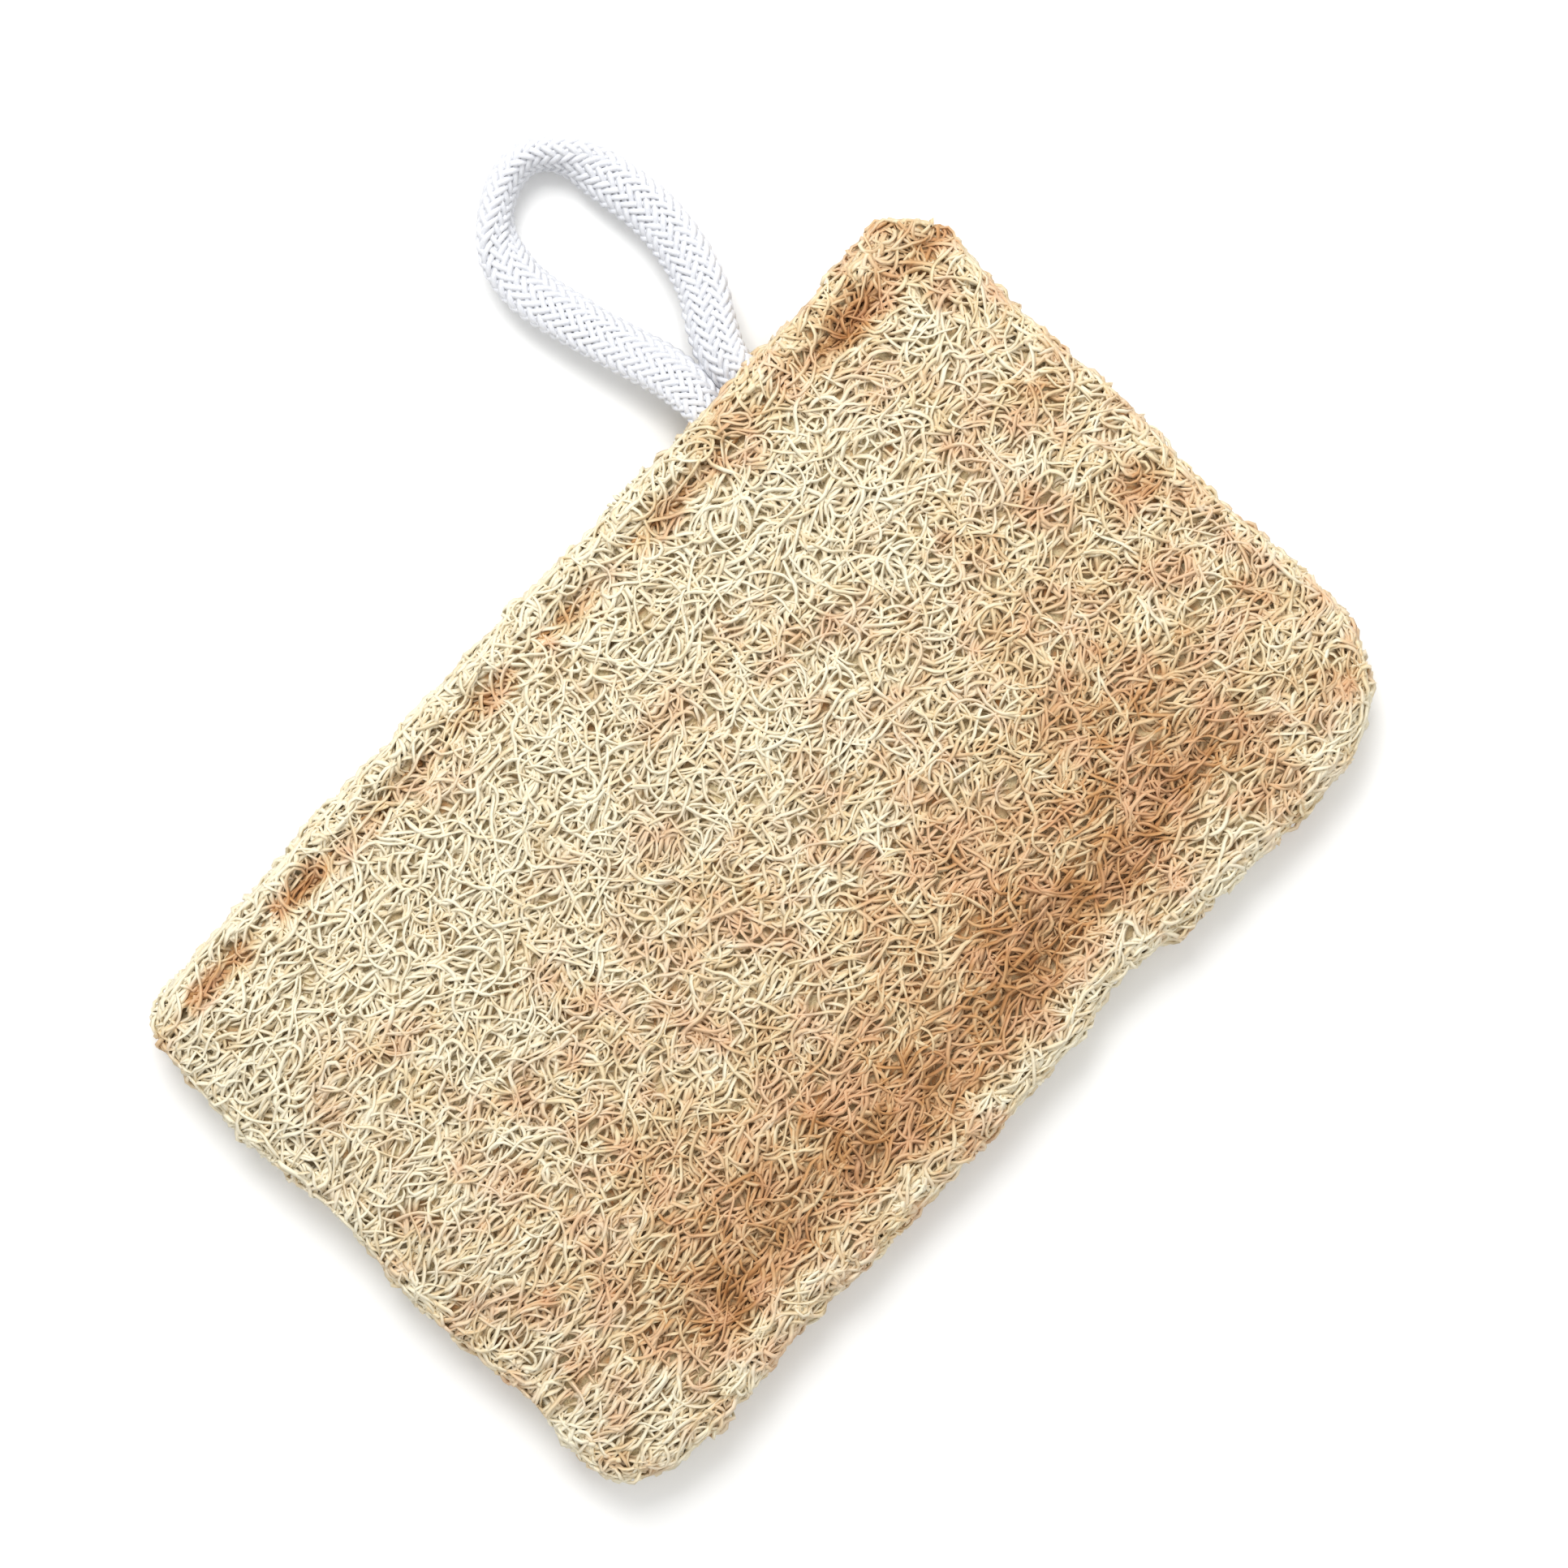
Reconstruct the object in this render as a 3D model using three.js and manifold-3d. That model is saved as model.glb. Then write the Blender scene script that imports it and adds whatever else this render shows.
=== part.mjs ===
// A loofah pad: one piece of dried loofah, opened out, pressed flat and trimmed to a rectangle with
// round corners, with a hanging loop of white braided cord sewn into one long edge.
// Millimetres, +Z up. The long side lies along X, the loop is on the +Y side, and the origin is on
// the resting surface under the middle of the pad.

import * as THREE from 'three';
import { mergeVertices } from 'three/addons/utils/BufferGeometryUtils.js';
import Module from 'manifold-3d';

// Outline of the pad, seen from above.
const PAD_LENGTH = 140;
const HALF_LENGTH = PAD_LENGTH / 2;
const LOOP_EDGE_Y = 43.8;
const LOOP_EDGE_DROOP = 1.6;
const CORNER_RADIUS = { leftFar: 6, leftNear: 9, rightNear: 13, rightFar: 7 };
const END_WAVE = 0.5;
const END_WAVE_PERIOD = 31;

// The edge without the loop waves a little: x along the pad, y of the trimmed edge.
const NEAR_EDGE = [
  [-70, -43.4], [-56, -44.1], [-38, -43.2], [-8, -43.8], [8, -43.5],
  [18, -41.8], [30, -43.4], [50, -44.4], [70, -42.6],
];

// Section of the pad.
const CROWN_HEIGHT = 11.6;
const RIM_HEIGHT = 9.4;
const RIM_LIFT = 1.2;
const EDGE_FALL = 15;
const RIM_ROUND = 1.8;
const RIM_UNEVEN = 0.9;
const SWELL_HEIGHT = 0.35;
const SWELL_PERIOD_X = 47;
const SWELL_PERIOD_Y = 33;

// The sewn groove inside the loop edge, the broad hollow inside the other long edge, and the faint
// groove inside each end.
const SEAM_Y = 38.6;
const SEAM_SLOPE = 0.012;
const SEAM_WIDTH = 2;
const SEAM_DEPTH = 2.6;
const SEAM_BREAK_DEPTH = 1.3;
const SEAM_DEPTH_BELOW = 0.8;
const HOLLOW_INSET = 8.6;
const HOLLOW_BOW = 4.4;
const HOLLOW_MIDDLE = -16;
const HOLLOW_WIDTH = 4.2;
const HOLLOW_DEPTH = 1.7;
const HOLLOW_FROM = -44;
const HOLLOW_TO = 44;
const HOLLOW_FADE = 12;
const END_INSET = 4.2;
const END_WIDTH = 1.6;
const END_DEPTH = 0.7;

// The raised net: strands that wander and cross, larger than life, with a pit in each mesh of it.
const MESHES_ALONG = 26;
const MESHES_ACROSS = 16;
const SEAM_ROW = MESHES_ACROSS - 1;
const MESH_JITTER = 0.2;
const WANDER = 0.2;
const WANDER_PERIOD = 4.6;
const WANDER_ALONG = [[0.4, 1], [-0.5, 0.6]];
const WANDER_ACROSS = [[0.8, -0.3], [0.5, 0.6]];
const BRIDGED_SHARE = 0.16;
const STRAND_SHARE = 0.44;
const STRAND_RISE = 0.9;
const STRAND_UNEVEN = 0.45;
const PIT_DEPTH = 0.9;
const PIT_UNEVEN = 0.5;
const LOWER_REST = 0.7;
const REST_SPOT_RADIUS = 5;
const NET_SEED = 4117;

// The cord: a flat oval braid, wide face up along the legs, half turned at its roots and on edge at
// its far bend.
const CORD_WIDTH = 6.7;
const CORD_THICK = 4.2;
const CORD_SIDES = 12;
const CORD_STEPS = 36;
const CORD_GAP = 0.35;
const CORD_ROUTE = [
  [33.9, 37.2, 5.9], [33.9, 41.6, 5.9], [34.2, 46.0, 5.8], [33.9, 50.2, 5.5], [32.5, 55.6, 5.0],
  [30.7, 62.8, 4.5], [29.5, 70.4, 4.1], [31.2, 76.6, 3.9], [35.9, 80.6, 3.8], [41.2, 81.2, 3.8],
  [44.9, 77.4, 3.8], [46.6, 70.2, 3.9], [46.8, 62.6, 4.3], [44.8, 55.0, 4.9], [41.9, 50.4, 5.4],
  [40.0, 46.4, 5.8], [39.5, 41.8, 5.9], [39.5, 37.2, 5.9],
];
const CORD_TURNS = [
  [0, 0.6], [0.12, 0.56], [0.22, 0.15], [0.37, 0.12], [0.44, 0.85], [0.5, 0.95],
  [0.56, 0.85], [0.63, 0.12], [0.78, 0.15], [0.88, 0.56], [1, 0.6],
];
const ROOT_X = 36.7;
const ROOT_SWELL = 2.1;
const ROOT_SWELL_RADIUS = 9;

// The seam thread: a running stitch along the groove, one stitch above, the next below.
const THREAD_RADIUS = 0.45;
const THREAD_SIDES = 6;
const THREAD_GAP = 0.4;
const THREAD_STEP = 1.3;
const THREAD_SLACK = 0.12;
const STITCH_ABOVE = 10.2;
const STITCH_BELOW = 5.4;
const STITCH_PERIOD = STITCH_ABOVE + STITCH_BELOW;
const STITCH_POINTS = 4;
const ROOT_STITCH = 12.6;
const SEAM_FROM = -64;
const SEAM_TO = 64;

const wasm = await Module();
wasm.setup();

/** A repeatable random draw between 0 and 1. */
function seededRandom(seed) {
  let state = seed;
  return () => {
    state = (state + 0x6d2b79f5) | 0;
    let mixed = Math.imul(state ^ (state >>> 15), 1 | state);
    mixed = (mixed + Math.imul(mixed ^ (mixed >>> 7), 61 | mixed)) ^ mixed;
    return ((mixed ^ (mixed >>> 14)) >>> 0) / 4294967296;
  };
}

/** A hump of height 1 at 0 that falls away over the given half width. */
function hump(distance, halfWidth) {
  return Math.exp(-((distance / halfWidth) ** 2));
}

/** Reads a value off a smooth line through [position, value] pairs. */
function readLine(pairs, position) {
  const last = pairs.length - 1;
  let at = 0;
  while (at < last - 1 && position > pairs[at + 1][0]) {
    at += 1;
  }
  const [from, fromValue] = pairs[at];
  const [to, toValue] = pairs[at + 1];
  const share = THREE.MathUtils.clamp((position - from) / (to - from), 0, 1);
  return THREE.MathUtils.lerp(fromValue, toValue, THREE.MathUtils.smoothstep(share, 0, 1));
}

/** The trimmed loop edge: straight, drooping a little towards the left end. */
function loopEdge(x) {
  const droop = Math.max(0, -10 - x) / 60;
  return LOOP_EDGE_Y - LOOP_EDGE_DROOP * droop * droop;
}

/** How far inside the loop edge the seam runs: it slants a little to that edge. */
function seamInset(x) {
  return loopEdge(x) - SEAM_Y + SEAM_SLOPE * x;
}

/** How far inside the other long edge the hollow's lowest line runs: it bows towards that edge. */
function hollowInset(x) {
  const fromMiddle = (x - HOLLOW_MIDDLE) / HALF_LENGTH;
  return HOLLOW_INSET + HOLLOW_BOW * fromMiddle * fromMiddle;
}

/** Where a knot of the net lies in plan, with its distances to the pad's edges. */
function planPoint(column, row) {
  const along = (2 * column) / MESHES_ALONG - 1;
  const across = (2 * row) / MESHES_ACROSS - 1;
  const wave = END_WAVE * Math.sin((2 * Math.PI * across * LOOP_EDGE_Y) / END_WAVE_PERIOD);
  const reach = HALF_LENGTH - RIM_ROUND;
  let x = along * (reach + wave * Math.abs(along) ** 8);
  const far = loopEdge(x) - RIM_ROUND;
  const near = readLine(NEAR_EDGE, x) + RIM_ROUND;
  const seam = loopEdge(x) - seamInset(x);
  let y = row > SEAM_ROW
    ? THREE.MathUtils.lerp(seam, far, row - SEAM_ROW)
    : THREE.MathUtils.lerp(near, seam, row / SEAM_ROW);
  const toEnd = reach - Math.abs(along) * reach;
  const toFar = far - y;
  const toNear = y - near;
  const side = along < 0 ? 'left' : 'right';
  const radius = CORNER_RADIUS[side + (across < 0 ? 'Near' : 'Far')];
  const inX = 1 - toEnd / radius;
  const inY = 1 - Math.min(toFar, toNear) / radius;
  if (inX > 0 && inY > 0) {
    const pull = 1 - Math.max(inX, inY) / Math.hypot(inX, inY);
    x -= Math.sign(along) * inX * radius * pull;
    y -= Math.sign(across) * inY * radius * pull;
  }
  return { x, y, toEnd: toEnd + RIM_ROUND, toFar: toFar + RIM_ROUND, toNear: toNear + RIM_ROUND };
}

/** A place part of the way from one plan point to another. */
function between(from, to, share) {
  const place = {};
  Object.keys(from).forEach((key) => {
    place[key] = THREE.MathUtils.lerp(from[key], to[key], share);
  });
  return place;
}

/** The middle of some plan points. */
function middle(points) {
  return points.reduce((sum, point, k) => between(sum, point, 1 / (k + 1)));
}

/** The needle holes along the seam, two to a stitch, spread to straddle the cord's roots. */
function needleHoles() {
  const holes = [];
  const start = ROOT_X - ROOT_STITCH / 2;
  for (let x = start; x > SEAM_FROM; x -= STITCH_PERIOD) {
    holes.unshift(x);
    holes.unshift(x - STITCH_BELOW);
  }
  holes.shift();
  for (let x = ROOT_X + ROOT_STITCH / 2; x < SEAM_TO; x += STITCH_PERIOD) {
    holes.push(x);
    holes.push(x + STITCH_BELOW);
  }
  return holes;
}

/** How hard the seam pulls at x: 1 under a stitch, less where the thread runs below. */
function seamPull(x) {
  const fromRoot = Math.abs(x - ROOT_X);
  if (fromRoot < ROOT_STITCH / 2) {
    return 0;
  }
  const phase = (fromRoot - ROOT_STITCH / 2) % STITCH_PERIOD;
  const middle = STITCH_BELOW + STITCH_ABOVE / 2;
  return hump(phase - middle, STITCH_ABOVE / 2);
}

/** How deep the seam groove is at a point of the pad. */
function seamGroove(x, toFar) {
  const depth = THREE.MathUtils.lerp(SEAM_BREAK_DEPTH, SEAM_DEPTH, seamPull(x));
  return depth * hump(toFar - seamInset(x), SEAM_WIDTH);
}

/** How much the pad swells over the cord's buried ends. */
function rootSwell(x, toFar) {
  return ROOT_SWELL * hump(Math.hypot(x - ROOT_X, toFar - seamInset(x)), ROOT_SWELL_RADIUS);
}

/** The lie of the pad's upper face, without its net. */
function upperFace({ x, y, toEnd, toFar, toNear }) {
  const inside = Math.min(toEnd, toFar, toNear, EDGE_FALL) / EDGE_FALL;
  const fall = (CROWN_HEIGHT - RIM_HEIGHT) * (1 - inside) ** 2;
  const swellX = Math.sin((2 * Math.PI * x) / SWELL_PERIOD_X);
  const swell = swellX * Math.sin((2 * Math.PI * y) / SWELL_PERIOD_Y);
  const started = THREE.MathUtils.smoothstep(x, HOLLOW_FROM - HOLLOW_FADE, HOLLOW_FROM);
  const ended = 1 - THREE.MathUtils.smoothstep(x, HOLLOW_TO, HOLLOW_TO + HOLLOW_FADE);
  const hollow = HOLLOW_DEPTH * started * ended * hump(toNear - hollowInset(x), HOLLOW_WIDTH);
  const endGroove = END_DEPTH * hump(toEnd - END_INSET, END_WIDTH);
  const pressed = fall + hollow + endGroove + seamGroove(x, toFar);
  return CROWN_HEIGHT - pressed + SWELL_HEIGHT * swell * inside + rootSwell(x, toFar);
}

/** The lie of the pad's underside, without its net: flat in the middle, lifting towards the rim. */
function lowerFace({ x, toEnd, toFar, toNear }) {
  const inside = Math.min(toEnd, toFar, toNear, EDGE_FALL) / EDGE_FALL;
  const groove = SEAM_DEPTH_BELOW * hump(toFar - seamInset(x), SEAM_WIDTH);
  return RIM_LIFT * (1 - inside) ** 2 + groove * (1 - rootSwell(x, toFar) / ROOT_SWELL);
}

/** How far the strands wander at a knot of the net, in meshes along and across. */
function wander(column, row) {
  const turn = (2 * Math.PI) / WANDER_PERIOD;
  const wave = ([perColumn, perRow]) => WANDER * Math.sin(turn * (perColumn * column + perRow * row));
  const sum = (waves) => waves.reduce((total, pair) => total + wave(pair), 0);
  return [sum(WANDER_ALONG), sum(WANDER_ACROSS)];
}

/** The knots of the net in plan, row by row. The outer knots and those on the seam keep their line. */
function layKnots(random) {
  const knots = [];
  for (let row = 0; row <= MESHES_ACROSS; row += 1) {
    for (let column = 0; column <= MESHES_ALONG; column += 1) {
      const [along, across] = wander(column, row);
      const freeX = column > 0 && column < MESHES_ALONG && row < SEAM_ROW ? 1 : 0;
      const freeY = row > 0 && row < SEAM_ROW && column > 0 && column < MESHES_ALONG ? 1 : 0;
      const shiftX = freeX * (along + MESH_JITTER * (2 * random() - 1));
      const shiftY = freeY * (across + MESH_JITTER * (2 * random() - 1));
      knots.push(planPoint(column + shiftX, row + shiftY));
    }
  }
  return knots;
}

/** Collects the corners and triangles of the netted surface. */
class NetSurface {
  constructor() {
    this.positions = [];
    this.triangles = [];
  }

  /** Adds a corner and returns its number. */
  corner(x, y, z) {
    this.positions.push(x, y, z);
    return this.positions.length / 3 - 1;
  }

  /** Adds one mesh of the net: strands slope from its rim of knots to a pit floor inside them. */
  mesh(rim, floor) {
    rim.forEach((knot, k) => {
      const next = (k + 1) % rim.length;
      this.triangles.push(knot, rim[next], floor[next], knot, floor[next], floor[k]);
      if (k > 1) {
        this.triangles.push(floor[0], floor[k - 1], floor[k]);
      }
    });
  }

  geometry() {
    const geometry = new THREE.BufferGeometry();
    geometry.setAttribute('position', new THREE.Float32BufferAttribute(this.positions, 3));
    geometry.setIndex(this.triangles);
    return geometry;
  }
}

/** One face of the pad. Returns the numbers of its knots in the surface. */
function addFace(surface, knots, height, isUpper, random) {
  const columns = MESHES_ALONG + 1;
  const numbers = knots.map((knot) => surface.corner(knot.x, knot.y, height(knot, true)));
  const addMesh = (cells) => {
    const centre = middle(cells.map((k) => knots[k]));
    const floor = cells.map((k) => {
      const place = between(knots[k], centre, STRAND_SHARE);
      return surface.corner(place.x, place.y, height(place, false));
    });
    surface.mesh(cells.map((k) => numbers[k]), floor);
  };
  for (let row = 0; row < MESHES_ACROSS; row += 1) {
    for (let column = 0; column < MESHES_ALONG; column += 1) {
      const a = row * columns + column;
      const [b, c, d] = [a + 1, a + columns + 1, a + columns];
      const ring = isUpper ? [a, b, c, d] : [a, d, c, b];
      if (random() < BRIDGED_SHARE) {
        addMesh([ring[0], ring[1], ring[2]]);
        addMesh([ring[0], ring[2], ring[3]]);
      } else {
        addMesh(ring);
      }
    }
  }
  return numbers;
}

/** Knots round the border of a face, anticlockwise from above. */
function borderKnots() {
  const columns = MESHES_ALONG + 1;
  const border = [];
  for (let column = 0; column < MESHES_ALONG; column += 1) {
    border.push(column);
  }
  for (let row = 0; row < MESHES_ACROSS; row += 1) {
    border.push(row * columns + MESHES_ALONG);
  }
  for (let column = MESHES_ALONG; column > 0; column -= 1) {
    border.push(MESHES_ACROSS * columns + column);
  }
  for (let row = MESHES_ACROSS; row > 0; row -= 1) {
    border.push(row * columns);
  }
  return border;
}

/** The rim between the two faces: two rows of meshes, fullest half way up. */
function addRim(surface, knots, upper, lower, random) {
  const border = borderKnots();
  const count = border.length;
  const point = (k) => new THREE.Vector3().fromArray(surface.positions, 3 * k);
  const outward = border.map((k, n) => {
    const before = knots[border[(n + count - 1) % count]];
    const after = knots[border[(n + 1) % count]];
    return new THREE.Vector3(after.y - before.y, before.x - after.x, 0).normalize();
  });
  const waist = border.map((k, n) => {
    const bulge = RIM_ROUND + RIM_UNEVEN * (random() - 0.5);
    const place = point(upper[k]).lerp(point(lower[k]), 0.5).addScaledVector(outward[n], bulge);
    return surface.corner(...place);
  });
  const addRow = (top, bottom) => {
    for (let n = 0; n < count; n += 1) {
      const m = (n + 1) % count;
      const rim = [bottom[n], bottom[m], top[m], top[n]];
      const centre = new THREE.Vector3();
      rim.forEach((k) => centre.addScaledVector(point(k), 1 / rim.length));
      const floor = rim.map((k) => {
        const place = point(k).lerp(centre, STRAND_SHARE).addScaledVector(outward[n], -PIT_DEPTH);
        return surface.corner(...place);
      });
      surface.mesh(rim, floor);
    }
  };
  addRow(border.map((k) => upper[k]), waist);
  addRow(waist, border.map((k) => lower[k]));
}

/** The pad with its raised net, as one closed surface. */
function padSurface() {
  const random = seededRandom(NET_SEED);
  const surface = new NetSurface();
  const relief = (place, onStrand) => {
    const shallow = 1 - hump(place.toFar - seamInset(place.x), SEAM_WIDTH);
    const rise = STRAND_RISE + STRAND_UNEVEN * (random() - 0.5);
    return shallow * (onStrand ? rise : -PIT_DEPTH - PIT_UNEVEN * random());
  };
  const upperHeight = (place, onStrand) => upperFace(place) + relief(place, onStrand);
  const lowerHeight = (place, onStrand) => {
    const resting = Math.hypot(place.x, place.y) < REST_SPOT_RADIUS;
    return resting ? 0 : Math.max(0, lowerFace(place) + LOWER_REST - relief(place, onStrand));
  };
  const knots = layKnots(random);
  const upper = addFace(surface, knots, upperHeight, true, random);
  const lower = addFace(surface, knots, lowerHeight, false, random);
  addRim(surface, knots, upper, lower, random);
  return surface.geometry();
}

/** A closed geometry as a solid that can be joined and cut. */
function toSolid(geometry) {
  const bare = geometry.clone();
  bare.deleteAttribute('normal');
  bare.deleteAttribute('uv');
  const merged = mergeVertices(bare, 1e-4);
  const mesh = new wasm.Mesh({
    numProp: 3,
    vertProperties: Float32Array.from(merged.attributes.position.array),
    triVerts: Uint32Array.from(merged.index.array),
  });
  return new wasm.Manifold(mesh);
}

/** A cut solid as a geometry again. */
function toGeometry(solid) {
  const mesh = solid.getMesh();
  const geometry = new THREE.BufferGeometry();
  geometry.setAttribute('position', new THREE.BufferAttribute(mesh.vertProperties, mesh.numProp));
  geometry.setIndex(new THREE.BufferAttribute(mesh.triVerts, 1));
  return geometry;
}

/** An oval section with the given widths and number of sides. */
function ovalSection(width, thick, sides) {
  const corners = [];
  for (let k = 0; k < sides; k += 1) {
    const angle = (2 * Math.PI * (k + 0.5)) / sides;
    corners.push(new THREE.Vector2((width / 2) * Math.cos(angle), (thick / 2) * Math.sin(angle)));
  }
  return new THREE.Shape(corners);
}

/** The cord's centreline, with the braid's flat side turning along it. */
class CordPath extends THREE.CatmullRomCurve3 {
  computeFrenetFrames(segments) {
    const frames = { tangents: [], normals: [], binormals: [] };
    for (let k = 0; k <= segments; k += 1) {
      const along = k / segments;
      const tangent = this.getTangentAt(along);
      const sideways = new THREE.Vector3(-tangent.y, tangent.x, 0).normalize();
      const turn = (readLine(CORD_TURNS, along) * Math.PI) / 2;
      const normal = sideways.applyAxisAngle(tangent, turn);
      frames.tangents.push(tangent);
      frames.normals.push(normal);
      frames.binormals.push(new THREE.Vector3().crossVectors(tangent, normal));
    }
    return frames;
  }
}

/** The hanging loop: one doubled length of cord with both ends in the pad's edge. */
function cordGeometry() {
  const path = new CordPath(CORD_ROUTE.map((point) => new THREE.Vector3(...point)));
  const section = ovalSection(CORD_WIDTH, CORD_THICK, CORD_SIDES);
  return new THREE.ExtrudeGeometry(section, { steps: CORD_STEPS, extrudePath: path });
}

/** The slot in the pad's edge that the cord's two ends lie in. */
function cordPocket() {
  const [[leftX, innerY, middleZ]] = CORD_ROUTE;
  const rightX = CORD_ROUTE[CORD_ROUTE.length - 1][0];
  const turn = (CORD_TURNS[0][1] * Math.PI) / 2;
  const legWidth = Math.hypot(CORD_WIDTH * Math.cos(turn), CORD_THICK * Math.sin(turn));
  const legHeight = Math.hypot(CORD_WIDTH * Math.sin(turn), CORD_THICK * Math.cos(turn));
  const width = rightX - leftX + legWidth + 2 * CORD_GAP;
  const height = legHeight + 2 * CORD_GAP;
  const depth = LOOP_EDGE_Y - innerY + 3;
  const geometry = new THREE.BoxGeometry(width, depth, height);
  geometry.translate((leftX + rightX) / 2, innerY - CORD_GAP + depth / 2, middleZ);
  return geometry;
}

/** A point of the thread at x, lying on the upper face or under the lower one. */
function threadPoint(x, above) {
  const toFar = seamInset(x);
  const y = loopEdge(x) - toFar;
  const spot = { x, y, toEnd: HALF_LENGTH - Math.abs(x), toFar, toNear: HALF_LENGTH };
  const stand = THREAD_RADIUS + THREAD_GAP;
  return new THREE.Vector3(x, y, above ? upperFace(spot) + stand : lowerFace(spot) + LOWER_REST - stand);
}

/** The running stitch's path: along one face from hole to hole, then through to the other. */
function threadPath() {
  const holes = needleHoles();
  const points = [threadPoint(holes[0], false)];
  for (let k = 0; k + 1 < holes.length; k += 1) {
    for (let n = 0; n <= STITCH_POINTS; n += 1) {
      const x = THREE.MathUtils.lerp(holes[k], holes[k + 1], n / STITCH_POINTS);
      points.push(threadPoint(x, k % 2 === 0));
    }
  }
  return new THREE.CatmullRomCurve3(points, false, 'catmullrom', THREAD_SLACK);
}

/** The thread along its path. */
function threadGeometry() {
  const path = threadPath();
  const steps = Math.round(path.getLength() / THREAD_STEP);
  const section = ovalSection(2 * THREAD_RADIUS, 2 * THREAD_RADIUS, THREAD_SIDES);
  return new THREE.ExtrudeGeometry(section, { steps, extrudePath: path });
}

/** The hole that the needle leaves in the pad at x. */
function needleHole(x) {
  const radius = THREAD_RADIUS + THREAD_GAP;
  const hole = new THREE.CylinderGeometry(radius, radius, 3 * CROWN_HEIGHT, THREAD_SIDES);
  hole.rotateX(Math.PI / 2);
  hole.translate(x, loopEdge(x) - seamInset(x), 0);
  return hole;
}

/** The finished pad: its netted body, pierced by the needle and opened for the cord's ends. */
function padGeometry() {
  let pad = toSolid(padSurface());
  needleHoles().forEach((x) => {
    pad = pad.subtract(toSolid(needleHole(x)));
  });
  return toGeometry(pad.subtract(toSolid(cordPocket())));
}

/** One named sub-part with its own finish. */
function subPart(name, geometry, color, roughness) {
  const material = new THREE.MeshStandardMaterial({ color, roughness, metalness: 0 });
  const mesh = new THREE.Mesh(geometry, material);
  mesh.name = name;
  return mesh;
}

const loofah = new THREE.Group();
loofah.add(subPart('loofah_pad', padGeometry(), 0xd4bc94, 0.85));
loofah.add(subPart('cord_loop', cordGeometry(), 0xf3f4f7, 0.7));
loofah.add(subPart('seam_thread', threadGeometry(), 0xb9824f, 0.8));

export default loofah;
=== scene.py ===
"""A natural loofah pad with a white braided hanging loop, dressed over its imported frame.

The pad lies flat on a pale floor and is seen from above. Sizes are in millimetres in the classes
and become metres where a mesh is made.
"""

import logging
import math
from dataclasses import dataclass
from enum import Enum

import bpy
import numpy as np
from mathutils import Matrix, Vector


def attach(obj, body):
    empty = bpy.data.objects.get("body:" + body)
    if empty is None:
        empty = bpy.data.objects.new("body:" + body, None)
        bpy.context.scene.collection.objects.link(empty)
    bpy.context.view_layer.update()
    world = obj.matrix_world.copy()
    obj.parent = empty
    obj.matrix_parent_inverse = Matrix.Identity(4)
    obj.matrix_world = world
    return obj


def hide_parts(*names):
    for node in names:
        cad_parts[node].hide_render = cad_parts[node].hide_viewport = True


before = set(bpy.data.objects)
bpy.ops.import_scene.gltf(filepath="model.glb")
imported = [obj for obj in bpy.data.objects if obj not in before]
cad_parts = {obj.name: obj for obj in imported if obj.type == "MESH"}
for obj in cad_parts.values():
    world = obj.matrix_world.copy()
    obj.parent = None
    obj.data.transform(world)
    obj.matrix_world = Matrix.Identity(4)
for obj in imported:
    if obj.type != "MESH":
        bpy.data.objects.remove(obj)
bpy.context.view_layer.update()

MM = 0.001
BODY = "root"
FULL_TURN = 2 * math.pi
LOG = logging.getLogger("loofah")

Points = np.ndarray
Span = tuple[float, float]
Stop = tuple[float, str]
Place = tuple[float, float, float]
Socket = bpy.types.NodeSocket


class Face(Enum):
    """The side of the pad that a layer of fibre lies on."""

    UPPER = "upper"
    LOWER = "lower"
    RIM = "rim"


def linear(hex_colour: str) -> tuple[float, float, float, float]:
    """Turns an sRGB hex colour into a linear one.

    Args:
        hex_colour: the colour, such as "#F0E3C0".

    Returns:
        Red, green, blue and alpha, linear.
    """
    digits = hex_colour.lstrip("#")
    shares = [int(digits[k:k + 2], 16) / 255 for k in (0, 2, 4)]
    light = [c / 12.92 if c <= 0.04045 else ((c + 0.055) / 1.055) ** 2.4 for c in shares]
    return (light[0], light[1], light[2], 1.0)


def hump(distance: Points, half_width: float) -> Points:
    """A hump of height 1 at 0 that falls away over the given half width."""
    return np.exp(-((distance / half_width) ** 2))


def smoothstep(value: Points, start: float, end: float) -> Points:
    """A smooth rise from 0 at start to 1 at end."""
    share = np.clip((value - start) / (end - start), 0.0, 1.0)
    return share * share * (3.0 - 2.0 * share)


def patches(x: Points, y: Points, size: float, seed: int) -> Points:
    """Soft uneven patches over the pad, from crossing waves of many directions.

    Args:
        x: places along the pad, mm.
        y: places across it, mm.
        size: the usual width of a patch, mm.
        seed: chooses the waves.

    Returns:
        Values around 0, mostly between -1 and 1.
    """
    rng = np.random.default_rng(seed)
    waves = 9
    widths = (0.7, 1.6)
    total = np.zeros_like(x)
    for _ in range(waves):
        turn = rng.uniform(0, FULL_TURN)
        wave = rng.uniform(*widths) * math.pi / size
        phase = rng.uniform(0, FULL_TURN)
        total = total + np.sin(wave * (x * math.cos(turn) + y * math.sin(turn)) + phase)
    return total / math.sqrt(waves)


def unit(vectors: Points) -> Points:
    """Scales each row to a length of 1."""
    return vectors / np.linalg.norm(vectors, axis=1)[:, None]


def run_along(line: Points) -> Points:
    """Distances from a line's start to each of its points, measured along it."""
    return np.concatenate([[0.0], np.cumsum(np.linalg.norm(np.diff(line, axis=0), axis=1))])


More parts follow.
